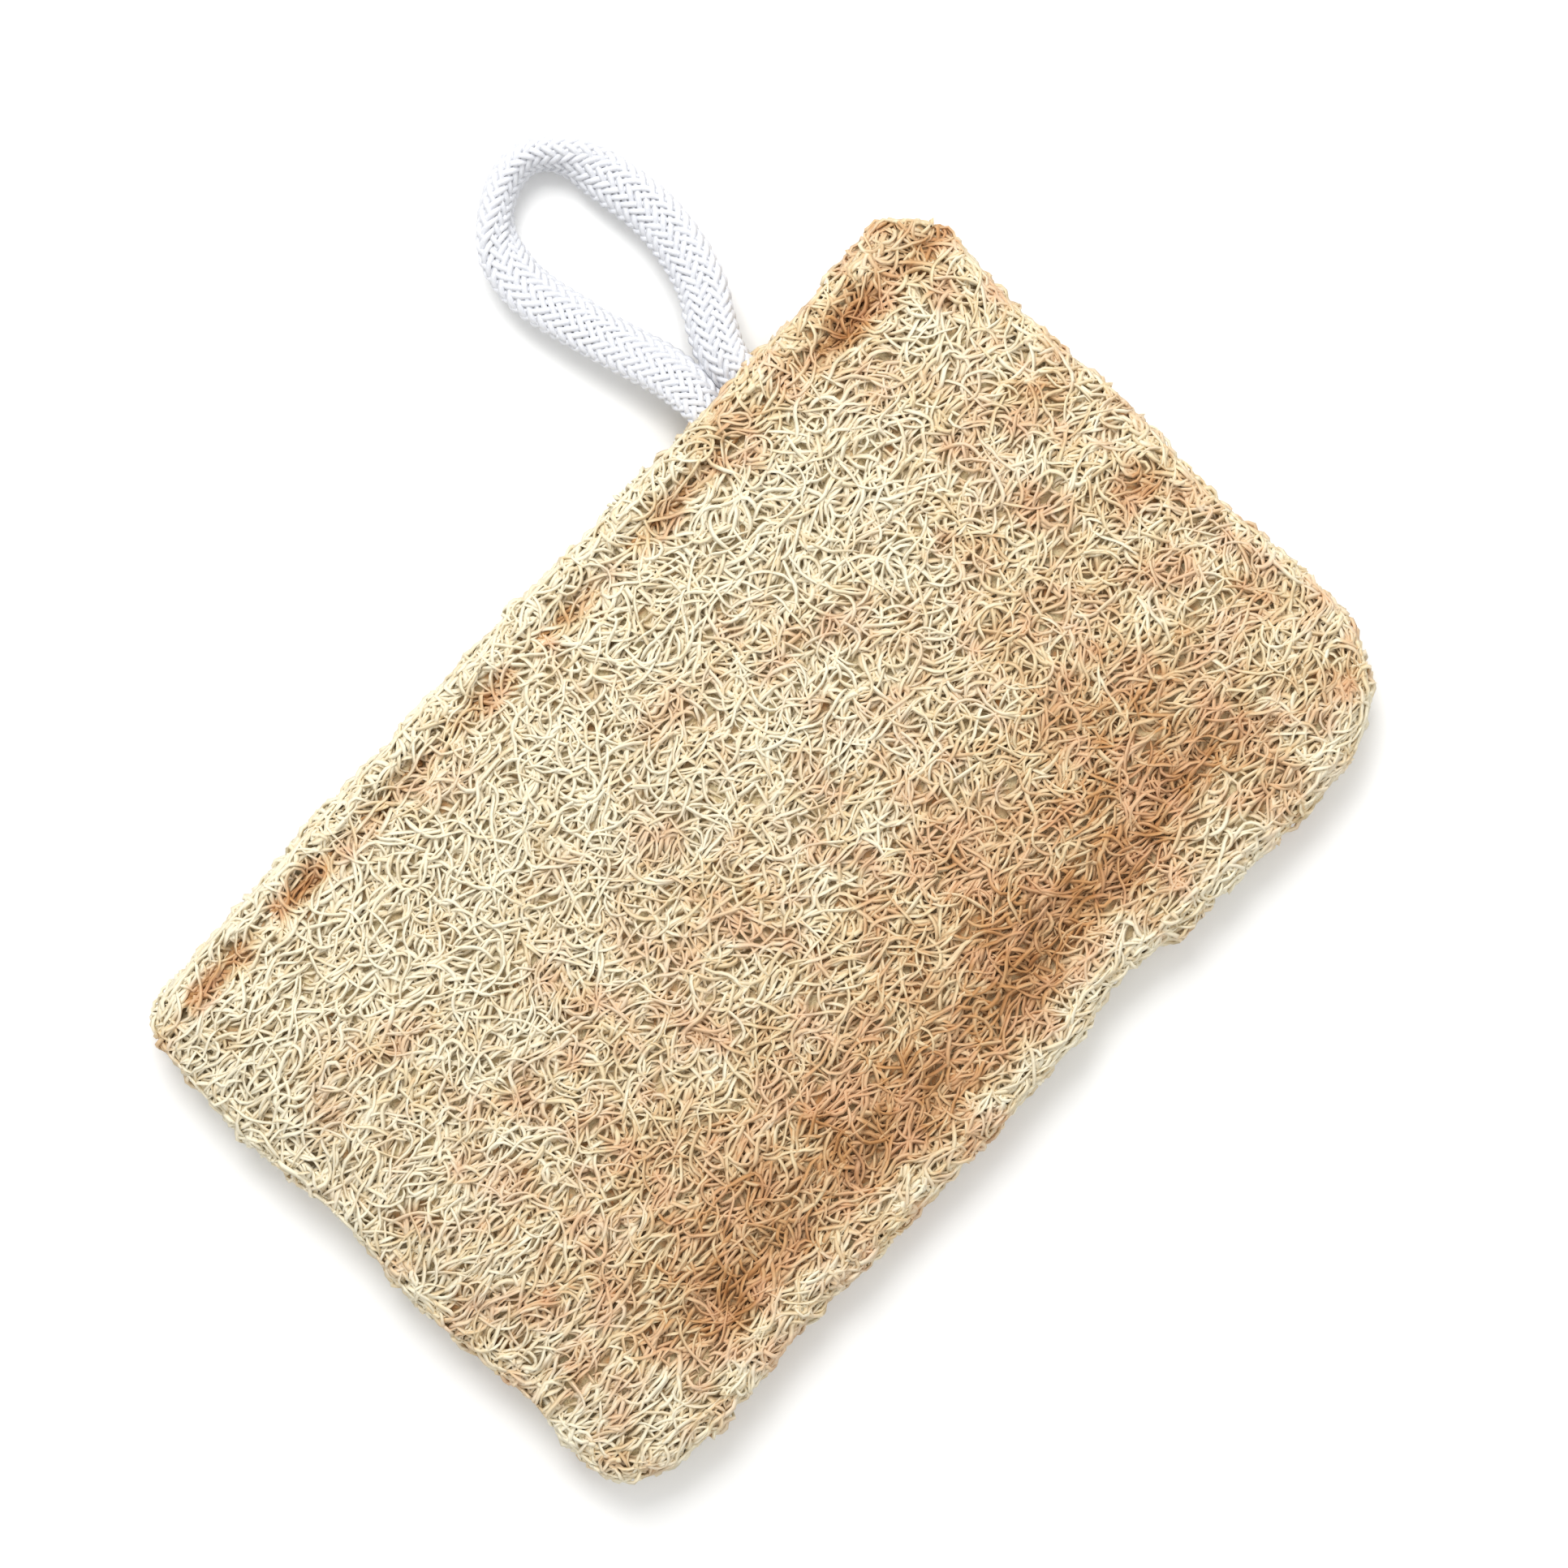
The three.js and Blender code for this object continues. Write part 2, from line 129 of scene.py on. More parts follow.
def resample(line: Points, count: int) -> Points:
    """Spaces points evenly along a line.

    Args:
        line: its points, one a row.
        count: how many points are wanted, both ends among them.

    Returns:
        The new points, one a row.
    """
    along = run_along(line)
    wanted = np.linspace(0.0, along[-1], count)
    return np.stack([np.interp(wanted, along, column) for column in line.T], axis=1)


def clear_selection() -> None:
    """Leaves edit mode and deselects everything."""
    if bpy.context.object is not None and bpy.context.object.mode != "OBJECT":
        bpy.ops.object.mode_set(mode="OBJECT")
    bpy.ops.object.select_all(action="DESELECT")


def activate(piece: bpy.types.Object, *others: bpy.types.Object) -> None:
    """Selects objects and nothing else, and makes the first of them active.

    Args:
        piece: the object to make active.
        *others: objects selected with it.
    """
    clear_selection()
    for chosen in (piece, *others):
        chosen.select_set(True)
    bpy.context.view_layer.objects.active = piece


class Surface:
    """A material in the making: its node tree, its shader and its object's own coordinates."""

    def __init__(self, name: str) -> None:
        """Starts a material with a Principled shader.

        Args:
            name: the material's name.
        """
        self.material = bpy.data.materials.new(name)
        self.material.use_nodes = True
        self.tree = self.material.node_tree
        self.place = self.add("ShaderNodeTexCoord").outputs["Object"]

    def plug(self, target: bpy.types.Node, inputs: dict) -> None:
        """Sets inputs of a node to values, or links them to sockets.

        Args:
            target: the node.
            inputs: values or output sockets, by input name or number.
        """
        for name, value in inputs.items():
            if isinstance(value, Socket):
                self.tree.links.new(value, target.inputs[name])
            else:
                target.inputs[name].default_value = value

    def add(self, kind: str, inputs: dict | None = None, **settings: object) -> bpy.types.Node:
        """Adds a node with its settings and links.

        Args:
            kind: the node's type name.
            inputs: values or output sockets, by input name or number.
            **settings: the node's own properties.

        Returns:
            The new node.
        """
        made = self.tree.nodes.new(kind)
        for name, value in settings.items():
            setattr(made, name, value)
        self.plug(made, inputs or {})
        return made

    def attribute(self, name: str) -> Socket:
        """Reads a number that the mesh holds at each vertex."""
        return self.add("ShaderNodeAttribute", attribute_name=name).outputs["Fac"]

    def noise(self, size: float, detail: float = 2.0, **more: float) -> Socket:
        """Adds noise whose lumps are about the given size, mm."""
        inputs = {"Vector": self.place, "Scale": 1.0 / (size * MM), "Detail": detail, **more}
        return self.add("ShaderNodeTexNoise", inputs).outputs["Fac"]

    def stretch(self, value: Socket, to: Span, within: Span = (0.0, 1.0)) -> Socket:
        """Maps a value from one range to another, and holds it between the new ends."""
        ends = {"From Min": within[0], "From Max": within[1], "To Min": to[0], "To Max": to[1]}
        return self.add("ShaderNodeMapRange", {"Value": value, **ends}).outputs["Result"]

    def maths(self, operation: str, first: Socket, second: Socket | float, clamp: bool = False) -> Socket:
        """Works out a sum or a product, held between 0 and 1 if clamp is set."""
        inputs = {0: first, 1: second}
        return self.add("ShaderNodeMath", inputs, operation=operation, use_clamp=clamp).outputs[0]

    def ramp(self, factor: Socket, stops: list[Stop]) -> Socket:
        """Adds a colour ramp.

        Args:
            factor: the socket that drives it.
            stops: position and hex colour of each stop.

        Returns:
            The ramp's colour.
        """
        made = self.add("ShaderNodeValToRGB", {"Fac": factor})
        band = made.color_ramp
        while len(band.elements) < len(stops):
            band.elements.new(1.0)
        for stop, (place, colour) in zip(band.elements, stops):
            stop.position = place
            stop.color = linear(colour)
        return made.outputs["Color"]

    def blend(self, share: Socket, under: Socket, over: str) -> Socket:
        """Lays a share of a hex colour over another colour."""
        inputs = {"Factor": share, 6: under, 7: linear(over)}
        return self.add("ShaderNodeMix", inputs, data_type="RGBA").outputs[2]

    def bump(self, height: Socket, strength: float, depth: float) -> Socket:
        """Adds fine relief of the given depth, mm."""
        inputs = {"Height": height, "Strength": strength, "Distance": depth * MM}
        return self.add("ShaderNodeBump", inputs).outputs["Normal"]

    def finish(self, inputs: dict) -> bpy.types.Material:
        """Gives the shader its inputs and hands over the material."""
        self.plug(self.tree.nodes["Principled BSDF"], inputs)
        return self.material


@dataclass(frozen=True)
class FibreFinish:
    """Dried loofah fibre: retted, sun-bleached plant strands, matt with a faint waxy gleam.

    Bleached strands are cream. Where the skin was they stay orange-brown; in the pressed grooves, the hollow
    and on the free side they are turned orange-brown as painted shade as well.
    Strands below the surface are mixed towards a dull tan, painted shade for their depth in the net.
    """

    name: str = "dried_loofah_fibre"
    cream: Stop = (0.0, "#F1E8CE")
    straw: Stop = (0.33, "#E5D0A8")
    orange: Stop = (0.7, "#C79560")
    brown: Stop = (1.0, "#9E6838")
    blush: str = "#DCB08A"
    depth_shade: str = "#D8C098"
    mottle_mm: float = 3.2
    mottle_range: Span = (0.3, 0.7)
    mottle_share: Span = (-0.14, 0.14)
    strand_share: Span = (-0.16, 0.18)
    blush_mm: float = 3.2 / 0.65
    blush_range: Span = (0.44, 0.66)
    blush_share: Span = (0.0, 0.7)
    blush_gain: float = 6.0
    grain_mm: float = 0.35
    grain_depth: float = 0.05
    grain_strength: float = 0.25
    roughness: Span = (0.52, 0.74)

    def build(self) -> bpy.types.Material:
        """Makes the fibre material.

        Returns:
            The material, which reads each strand's warmth and painted shade, its depth for painted shade, and
            its tint.
        """
        surface = Surface(self.name)
        # Warmth carries the fibre's own orange and the painted shade of grooves, hollow and free side.
        warmth_and_shade = surface.attribute("warmth_and_shade")
        lumps = surface.noise(self.mottle_mm, detail=3.0, Roughness=0.6)
        mottle = surface.stretch(lumps, self.mottle_share, self.mottle_range)
        own = surface.stretch(surface.attribute("tint"), self.strand_share)
        tone = surface.maths("ADD", surface.maths("ADD", warmth_and_shade, mottle), own, clamp=True)
        hue = surface.ramp(tone, [self.cream, self.straw, self.orange, self.brown])
        rosy = surface.stretch(surface.noise(self.blush_mm), self.blush_share, self.blush_range)
        ripe = surface.maths("MULTIPLY", warmth_and_shade, self.blush_gain, clamp=True)
        tinted = surface.blend(surface.maths("MULTIPLY", rosy, ripe), hue, self.blush)
        grain = surface.noise(self.grain_mm)
        return surface.finish({
            # Painted shade: strands that lie deeper are blended towards the darker tan.
            "Base Color": surface.blend(surface.attribute("depth"), tinted, self.depth_shade),
            "Roughness": surface.stretch(grain, self.roughness),
            "Normal": surface.bump(grain, self.grain_strength, self.grain_depth),
            "IOR": 1.45,
            "Specular IOR Level": 0.35,
        })


@dataclass(frozen=True)
class MatFinish:
    """The deep tangled loofah fibre, seen only in the net's gaps: dull, tan and rough, with painted shade in
    its own gaps.
    """

    name: str = "inner_loofah_mat"
    # The painted shade laid into the gaps of the tangle.
    gap_shade_colour: str = "#BCA67C"
    olive: Stop = (0.1, "#E2D3AA")
    orange: Stop = (0.9, "#C4905C")
    patch_mm: float = 3.4
    patch_range: Span = (0.4, 0.66)
    patch_share: Span = (-0.2, 0.75)
    strand_mm: float = 0.75
    strand_depth: float = 0.3
    strand_strength: float = 0.8
    gap_shade_range: Span = (0.38, 0.56)
    gap_shade_share: Span = (0.85, 0.0)
    roughness: float = 0.9

    def build(self) -> bpy.types.Material:
        """Makes the inner mat's material.

        Returns:
            The material, which reads the mat's warmth.
        """
        surface = Surface(self.name)
        patch = surface.stretch(surface.noise(self.patch_mm), self.patch_share, self.patch_range)
        tone = surface.maths("ADD", surface.attribute("warmth_and_shade"), patch, clamp=True)
        hue = surface.ramp(tone, [self.olive, self.orange])
        tangle = surface.noise(self.strand_mm, detail=3.0, Distortion=1.4)
        # Painted shade: the tangle's gaps are blended towards the shade colour.
        gap = surface.stretch(tangle, self.gap_shade_share, self.gap_shade_range)
        return surface.finish({
            "Base Color": surface.blend(gap, hue, self.gap_shade_colour),
            "Normal": surface.bump(tangle, self.strand_strength, self.strand_depth),
            "Roughness": self.roughness,
        })


@dataclass(frozen=True)
class FleckedFinish:
    """A finish of two near shades in fine flecks, which may stand out a little and have a sheen."""

    name: str
    dark: Stop
    light: Stop
    fleck_mm: float
    roughness: float
    fleck_depth: float = 0.0
    fleck_strength: float = 0.0
    sheen: float = 0.0
    sheen_roughness: float = 0.5

    def build(self) -> bpy.types.Material:
        """Makes the flecked material.

        Returns:
            The material.
        """
        surface = Surface(self.name)
        fleck = surface.noise(self.fleck_mm)
        inputs = {
            "Base Color": surface.ramp(fleck, [self.dark, self.light]),
            "Roughness": self.roughness,
            "Sheen Weight": self.sheen,
            "Sheen Roughness": self.sheen_roughness,
        }
        if self.fleck_depth > 0:
            inputs["Normal"] = surface.bump(fleck, self.fleck_strength, self.fleck_depth)
        return surface.finish(inputs)


@dataclass(frozen=True)
class CordFinish(FleckedFinish):
    """Braided polyester cord: bright white filament yarn with a soft sheen, a little grey in places."""

    name: str = "braided_polyester_cord"
    dark: Stop = (0.3, "#D9DBE0")
    light: Stop = (0.6, "#E4E5E9")
    fleck_mm: float = 0.22
    roughness: float = 0.5
    fleck_depth: float = 0.04
    fleck_strength: float = 0.2
    sheen: float = 0.2
    sheen_roughness: float = 0.4


@dataclass(frozen=True)
class ThreadFinish(FleckedFinish):
    """Twisted natural sewing thread: tan and dull, with darker flecks."""

    name: str = "twisted_sewing_thread"
    dark: Stop = (0.35, "#996C3E")
    light: Stop = (0.65, "#C99F6C")
    fleck_mm: float = 0.3
    roughness: float = 0.75
    fleck_depth: float = 0.05
    fleck_strength: float = 0.3


@dataclass(frozen=True)
class FloorFinish(FleckedFinish):
    """Matt white studio paper, with the faintest unevenness."""

    name: str = "white_studio_paper"
    dark: Stop = (0.3, "#F8F8F7")
    light: Stop = (0.7, "#FBFBFA")
    fleck_mm: float = 40.0
    roughness: float = 0.9


@dataclass(frozen=True)
class PadForm:
    """The pad's outline and the lie of its two faces, in millimetres, as its solid has them."""

    half_length: float = 70.0
    end_wave: float = 0.5
    end_wave_period: float = 31.0
    loop_edge_y: float = 43.8
    loop_edge_droop: float = 1.6
    droop_from: float = -10.0
    droop_length: float = 60.0
    near_edge: tuple[Span, ...] = (
        (-70, -43.4), (-56, -44.1), (-38, -43.2), (-8, -43.8), (8, -43.5),
        (18, -41.8), (30, -43.4), (50, -44.4), (70, -42.6),
    )
    corner_left_far: float = 6.0
    corner_left_near: float = 9.0
    corner_right_near: float = 13.0
    corner_right_far: float = 7.0
    crown_height: float = 11.6
    rim_height: float = 9.4
    rim_lift: float = 1.2
    edge_fall: float = 15.0
    rim_round: float = 3.2
    swell_height: float = 0.35
    swell_period_x: float = 47.0
    swell_period_y: float = 33.0
    seam_y: float = 38.6
    seam_slope: float = 0.012
    seam_width: float = 2.0
    seam_depth: float = 2.6
    seam_break_depth: float = 1.3
    seam_depth_below: float = 0.8
    hollow_inset: float = 8.6
    hollow_bow: float = 4.4
    hollow_middle: float = -16.0
    hollow_width: float = 4.2
    hollow_depth: float = 1.7
    hollow_from: float = -44.0
    hollow_to: float = 44.0
    hollow_fade: float = 12.0
    end_inset: float = 4.2
    end_width: float = 1.6
    end_depth: float = 0.7
    root_x: float = 36.7
    mouth_from: float = 36.5
    mouth_z: float = 5.9
    mouth_wide: float = 6.3
    mouth_high: float = 2.9
    root_swell: float = 2.1
    root_swell_radius: float = 9.0
    stitch_above: float = 10.2
    stitch_below: float = 5.4
    root_stitch: float = 12.6

    def far_edge(self, x: Points) -> Points:
        """The trimmed edge with the loop: straight, drooping a little towards the left end."""
        droop = np.maximum(0.0, self.droop_from - x) / self.droop_length
        return self.loop_edge_y - self.loop_edge_droop * droop * droop

    def free_edge(self, x: Points) -> Points:
        """The trimmed edge without the loop, which waves a little.

        Args:
            x: places along the pad, mm.

        Returns:
            The edge's y at each, mm.
        """
        stations, values = np.array(self.near_edge, dtype=float).T
        at = np.clip(np.searchsorted(stations, x) - 1, 0, len(stations) - 2)
        share = smoothstep((x - stations[at]) / (stations[at + 1] - stations[at]), 0.0, 1.0)
        return values[at] + (values[at + 1] - values[at]) * share

    def distances(self, x: Points, y: Points) -> tuple[Points, Points, Points]:
        """Distances inwards to the nearer end, to the loop edge and to the free edge, mm."""
        wave = self.end_wave * np.sin(FULL_TURN * y / self.end_wave_period) * np.sign(x)
        return self.half_length + wave - np.abs(x), self.far_edge(x) - y, y - self.free_edge(x)

    def inset(self, x: Points, y: Points) -> Points:
        """How far inside the outline each place lies, with its corners rounded.

        Args:
            x: places along the pad, mm.
            y: places across it, mm.

        Returns:
            Distances in mm, negative outside.
        """
        to_end, to_far, to_near = self.distances(x, y)
        far = y > 0
        radius = np.where(
            x < 0,
            np.where(far, self.corner_left_far, self.corner_left_near),
            np.where(far, self.corner_right_far, self.corner_right_near),
        )
        to_side = np.minimum(to_far, to_near)
        in_corner = (to_end < radius) & (to_side < radius)
        rounded = radius - np.hypot(radius - to_end, radius - to_side)
        return np.where(in_corner, rounded, np.minimum(to_end, to_side))

    def inwards(self, x: Points, y: Points) -> tuple[Points, Points]:
        """The direction in plan that leads away from the nearest edge.

        Args:
            x: places along the pad, mm.
            y: places across it, mm.

        Returns:
            The direction's x and y, a unit vector at each place.
        """
        step = 0.05
        least = 1e-9
        along = self.inset(x + step, y) - self.inset(x - step, y)
        across = self.inset(x, y + step) - self.inset(x, y - step)
        size = np.maximum(np.hypot(along, across), least)
        return along / size, across / size

    def pulled_in(self, x: Points, y: Points, gap: float) -> tuple[Points, Points]:
        """Moves places that lie nearer the outline than a gap, or past it, inwards to that gap.

        Args:
            x: places along the pad, mm.
            y: places across it, mm.
            gap: the least distance inside the outline, mm.

        Returns:
            The new x and y, mm.
        """
        short = np.maximum(0.0, gap - self.inset(x, y))
        in_x, in_y = self.inwards(x, y)
        return x + short * in_x, y + short * in_y

    def seam_pull(self, x: Points) -> Points:
        """How hard the seam pulls: most under a stitch, less where the thread runs below.

        Args:
            x: places along the pad, mm.

        Returns:
            Values from 0 to 1.
        """
        from_root = np.abs(x - self.root_x)
        phase = np.mod(from_root - self.root_stitch / 2, self.stitch_above + self.stitch_below)
        pull = hump(phase - (self.stitch_below + self.stitch_above / 2), self.stitch_above / 2)
        return np.where(from_root < self.root_stitch / 2, 0.0, pull)

    def from_seam(self, x: Points, to_far: Points) -> Points:
        """How far inside the seam's slanting line each place lies, mm."""
        return to_far - (self.far_edge(x) - self.seam_y + self.seam_slope * x)

    def from_hollow(self, x: Points, to_near: Points) -> Points:
        """How far inside the hollow's bowed lowest line each place lies, mm."""
        bow = self.hollow_bow * ((x - self.hollow_middle) / self.half_length) ** 2
        return to_near - self.hollow_inset - bow

    def hollow_reach(self, x: Points) -> Points:
        """Where along the pad the hollow runs, from 0 to 1."""
        started = smoothstep(x, self.hollow_from - self.hollow_fade, self.hollow_from)
        return started * (1.0 - smoothstep(x, self.hollow_to, self.hollow_to + self.hollow_fade))

    def open_faces(self, x: Points, y: Points) -> tuple[Points, Points]:
        """The two faces before the rim rounds them off.

        Args:
            x: places along the pad, mm.
            y: places across it, mm.

        Returns:
            Heights of the upper and the lower face, mm.
        """
        to_end, to_far, to_near = self.distances(x, y)
        least = np.minimum(np.minimum(to_end, to_far), to_near)
        inside = np.clip(least, 0.0, self.edge_fall) / self.edge_fall
        swell = np.sin(FULL_TURN * x / self.swell_period_x) * np.sin(FULL_TURN * y / self.swell_period_y)
        from_seam = self.from_seam(x, to_far)
        seam = hump(from_seam, self.seam_width)
        stitched = (self.seam_depth - self.seam_break_depth) * self.seam_pull(x)
        root = hump(np.hypot(x - self.root_x, from_seam), self.root_swell_radius)
        hollow = self.hollow_reach(x) * hump(self.from_hollow(x, to_near), self.hollow_width)
        pressed = (
            (self.crown_height - self.rim_height) * (1.0 - inside) ** 2
            + self.hollow_depth * hollow
            + self.end_depth * hump(to_end - self.end_inset, self.end_width)
            + (self.seam_break_depth + stitched) * seam
        )
        upper = self.crown_height - pressed + self.swell_height * swell * inside + self.root_swell * root
        lower = self.rim_lift * (1.0 - inside) ** 2 + self.seam_depth_below * seam * (1.0 - root)
        return upper, lower

    def faces(self, x: Points, y: Points) -> tuple[Points, Points]:
        """The two faces with the rim rounded.

        Args:
            x: places along the pad, mm.
            y: places across it, mm.

        Returns:
            Heights of the upper and the lower face, mm.
        """
        upper, lower = self.open_faces(x, y)
        middle = (upper + lower) / 2
        share = np.clip(self.inset(x, y) / self.rim_round, 0.0, 1.0)
        bulge = np.sqrt(np.maximum(0.0, 1.0 - (1.0 - share) ** 2))
        return middle + (upper - middle) * bulge, middle + (lower - middle) * bulge

    def outline(self, count: int) -> Points:
        """The pad's outline as evenly spaced points, anticlockwise, the first one again at the end.

        Args:
            count: how many different points.

        Returns:
            Their x and y, mm, one row a point.
        """
        halvings = 40
        turn = np.linspace(0, FULL_TURN, 4 * count, endpoint=False)
        low = np.zeros_like(turn)
        high = np.full_like(turn, 2.0 * self.half_length)
        for _ in range(halvings):
            reach = (low + high) / 2
            inside = self.inset(reach * np.cos(turn), reach * np.sin(turn)) > 0
            low = np.where(inside, reach, low)
            high = np.where(inside, high, reach)
        ring = np.stack([low * np.cos(turn), low * np.sin(turn)], axis=1)
        return resample(np.vstack([ring, ring[:1]]), count + 1)


@dataclass(frozen=True)
class Rise:
    """An amount that comes in smoothly from start to end, mm; with the larger first it fades out."""

    start: float
    end: float
    amount: float = 1.0

    def at(self, place: Points) -> Points:
        """The amount at each place."""
        return self.amount * smoothstep(place, self.start, self.end)


@dataclass(frozen=True)
class Patchwork:
    """Uneven patches: how strong they are, their usual width in mm and what chooses them."""

    amount: float
    size: float
    seed: int

    def at(self, x: Points, y: Points) -> Points:
        """The patches' strength at each place."""
        return self.amount * patches(x, y, self.size, self.seed)


@dataclass(frozen=True)
class PadStainsAndShade:
    """Where the fibre stayed orange and where it bleached, with painted shade added, as shares of the way
    from cream to brown.
    """

    form: PadForm = PadForm()
    ground: float = -0.04
    # More orange away from the loop edge: partly the fibre's own colour, partly painted shade for the crown's
    # side turned from the light.
    across: Rise = Rise(14.0, 60.0, 0.22)
    along: Rise = Rise(15.0, 60.0, 0.1)
    # The hollow's orange band: partly the fibre's own orange, partly painted shade in the hollow and on its
    # inner slope.
    hollow: float = 0.52
    hollow_shift: float = 1.0
    hollow_drift: Rise = Rise(15.0, 45.0, 2.2)
    hollow_inner: float = 15.0
    hollow_outer: float = 2.7
    hollow_even: float = 0.95
    hollow_uneven: Patchwork = Patchwork(0.12, 16.0, 31)
    # Painted shade in the seam's groove, strongest under each stitch.
    seam: float = 0.78
    seam_shade_inset: float = 0.6
    seam_width: float = 1.6
    seam_shade_shares: tuple[Span, ...] = (
        (-64, 1.0), (-40, 1.0), (-30, 0.35), (-20, 0.35), (-8, 0.7),
        (6, 0.6), (18, 0.7), (26, 0.7), (48, 0.5),
    )
    blot: float = 0.3
    blot_x: float = 54.0
    blot_y: float = 38.5
    blot_radius: float = 3.6
    blot_stretch: float = 2.0
    cord_side: Rise = Rise(22.0, 36.0, 0.24)
    cord_side_fade: Rise = Rise(10.0, 5.0)
    loop_rim: float = 0.1
    loop_rim_width: float = 3.0
    # A paler free-edge rim, less pale to the left: partly the fibre's own colour, partly painted shade.
    free_rim: float = 0.08
    free_rim_right: Rise = Rise(-10.0, 20.0, 0.12)
    free_rim_width: float = 5.0
    spot: Patchwork = Patchwork(0.3, 9.0, 7)
    spot_side: Rise = Rise(0.0, 50.0)
    spot_inset: float = 2.0
    spot_width: float = 3.0
    end: float = 0.07
    end_right: Rise = Rise(-20.0, 20.0, 0.06)
    end_fade: Rise = Rise(20.0, 6.0)
    end_side: Rise = Rise(25.0, 60.0)
    patch: Patchwork = Patchwork(0.12, 13.0, 12)
    fleck: Patchwork = Patchwork(0.06, 5.0, 21)
    fleck_side: Rise = Rise(6.0, 40.0)

    def hollow_band_and_shade(self, x: Points, y: Points, to_near: Points) -> Points:
        """The orange band in the hollow and on the slope inside it, partly the fibre's own orange and partly
        painted shade.

        Args:
            x: places along the pad, mm.
            y: places across it, mm.
            to_near: distances to the free edge, mm.

        Returns:
            What the band adds to the tone.
        """
        inside = self.form.from_hollow(x, to_near) + self.hollow_shift - self.hollow_drift.at(x)
        band = np.where(inside > 0, hump(inside, self.hollow_inner), hump(inside, self.hollow_outer))
        broken = self.hollow_even + self.hollow_uneven.at(x, y)
        return self.hollow * broken * band * self.form.hollow_reach(x)

    def by_loop_edge(self, x: Points, y: Points, to_far: Points) -> Points:
        """The seam's groove in painted shade, the blot at its right end, the tan edge by the cord and the
        pale rim.

        Args:
            x: places along the pad, mm.
            y: places across it, mm.
            to_far: distances to the loop edge, mm.

        Returns:
            What they add to the tone.
        """
        stations, shares = zip(*self.seam_shade_shares)
        pulled = np.interp(x, stations, shares) * np.sqrt(self.form.seam_pull(x))
        seam = pulled * hump(self.form.from_seam(x, to_far) - self.seam_shade_inset, self.seam_width)
        blot = hump(np.hypot((x - self.blot_x) / self.blot_stretch, y - self.blot_y), self.blot_radius)
        tan = self.cord_side.at(x) * self.cord_side_fade.at(to_far)
        return self.seam * seam + self.blot * blot + tan - self.loop_rim * hump(to_far, self.loop_rim_width)

    def warmth_and_shade(self, x: Points, y: Points) -> Points:
        """How orange the fibre is, painted shade included, from 0, bleached cream, to 1, brown.

        Args:
            x: places along the pad, mm.
            y: places across it, mm.

        Returns:
            Values from 0 to 1.
        """
        to_end, to_far, to_near = self.form.distances(x, y)
        groove = hump(to_end - self.form.end_inset - self.spot_inset, self.spot_width)
        tone = (
            self.ground
            + self.across.at(to_far)
            + self.along.at(x)
            + self.hollow_band_and_shade(x, y, to_near)
            + self.by_loop_edge(x, y, to_far)
            + np.clip(self.spot.at(x, y), 0.0, self.spot.amount) * self.spot_side.at(x) * groove
            - (self.end + self.end_right.at(x)) * self.end_fade.at(to_end) * self.end_side.at(to_far)
            - (self.free_rim + self.free_rim_right.at(x)) * hump(to_near, self.free_rim_width)
            + np.clip(self.patch.at(x, y), 0.0, self.patch.amount)
            + self.fleck.at(x, y) * self.fleck_side.at(to_far)
        )
        return np.clip(tone, 0.0, 1.0)


def section_curve(sides: int) -> bpy.types.Object:
    """Makes the cross-section of a strand, as wide on average as a round one of 1 mm radius.

    Args:
        sides: how many sides it has.

    Returns:
        A flat closed curve.
    """
    curve = bpy.data.curves.new("strand_section", "CURVE")
    curve.dimensions = "2D"
    ring = curve.splines.new("POLY")
    ring.points.add(sides - 1)
    ring.use_cyclic_u = True
    reach = math.pi / (sides * math.sin(math.pi / sides)) * MM
    for k, point in enumerate(ring.points):
        turn = FULL_TURN * k / sides
        point.co = (reach * math.cos(turn), reach * math.sin(turn), 0.0, 1.0)
    section = bpy.data.objects.new("strand_section", curve)
    bpy.context.scene.collection.objects.link(section)
    return section


def tubes(name: str, lines: list[Points], radii: list[Points], sides: int = 3) -> bpy.types.Object:
    """Makes many thin round strands as one mesh.

    Args:
        name: the object's name.
        lines: the points of each strand, mm.
        radii: the radius at each point, mm.
        sides: how many sides each strand has.

    Returns:
        The mesh object, smooth, with its origin at the frame's.
    """
    section = section_curve(sides)
    curve = bpy.data.curves.new(name, "CURVE")
    curve.dimensions = "3D"
    curve.bevel_mode = "OBJECT"
    curve.bevel_object = section
    curve.use_fill_caps = True
    for line, radius in zip(lines, radii):
        spline = curve.splines.new("POLY")
        spline.points.add(len(line) - 1)
        four = np.ones((len(line), 4))
        four[:, :3] = line * MM
        spline.points.foreach_set("co", four.ravel())
        spline.points.foreach_set("radius", np.asarray(radius, dtype=float))
    strand = bpy.data.objects.new(name, curve)
    bpy.context.scene.collection.objects.link(strand)
    activate(strand)
    bpy.ops.object.convert(target="MESH")
    made = bpy.context.view_layer.objects.active
    bpy.ops.object.shade_smooth()
    clear_selection()
    profile = section.data
    bpy.data.objects.remove(section)
    bpy.data.curves.remove(profile)
    return made


def vertex_places(piece: bpy.types.Object) -> Points:
    """The places of a mesh's vertices.

    Args:
        piece: the mesh object.

    Returns:
        One row a vertex, mm.
    """
    flat = np.empty(len(piece.data.vertices) * 3)
    piece.data.vertices.foreach_get("co", flat)
    return flat.reshape(-1, 3) / MM


def write_attribute(piece: bpy.types.Object, name: str, values: Points) -> None:
    """Stores one number at each vertex of a mesh, for its material."""
    layer = piece.data.attributes.new(name, "FLOAT", "POINT")
    layer.data.foreach_set("value", values.astype(np.float32))


def finish_piece(piece: bpy.types.Object, material: bpy.types.Material, solid: str) -> None:
    """Gives a piece its material and its place in the frame.

    Args:
        piece: the finished mesh object.
        material: its material.
        solid: the node whose solid it replaces.
    """
    piece.data.materials.clear()
    piece.data.materials.append(material)
    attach(piece, BODY)
    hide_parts(solid)


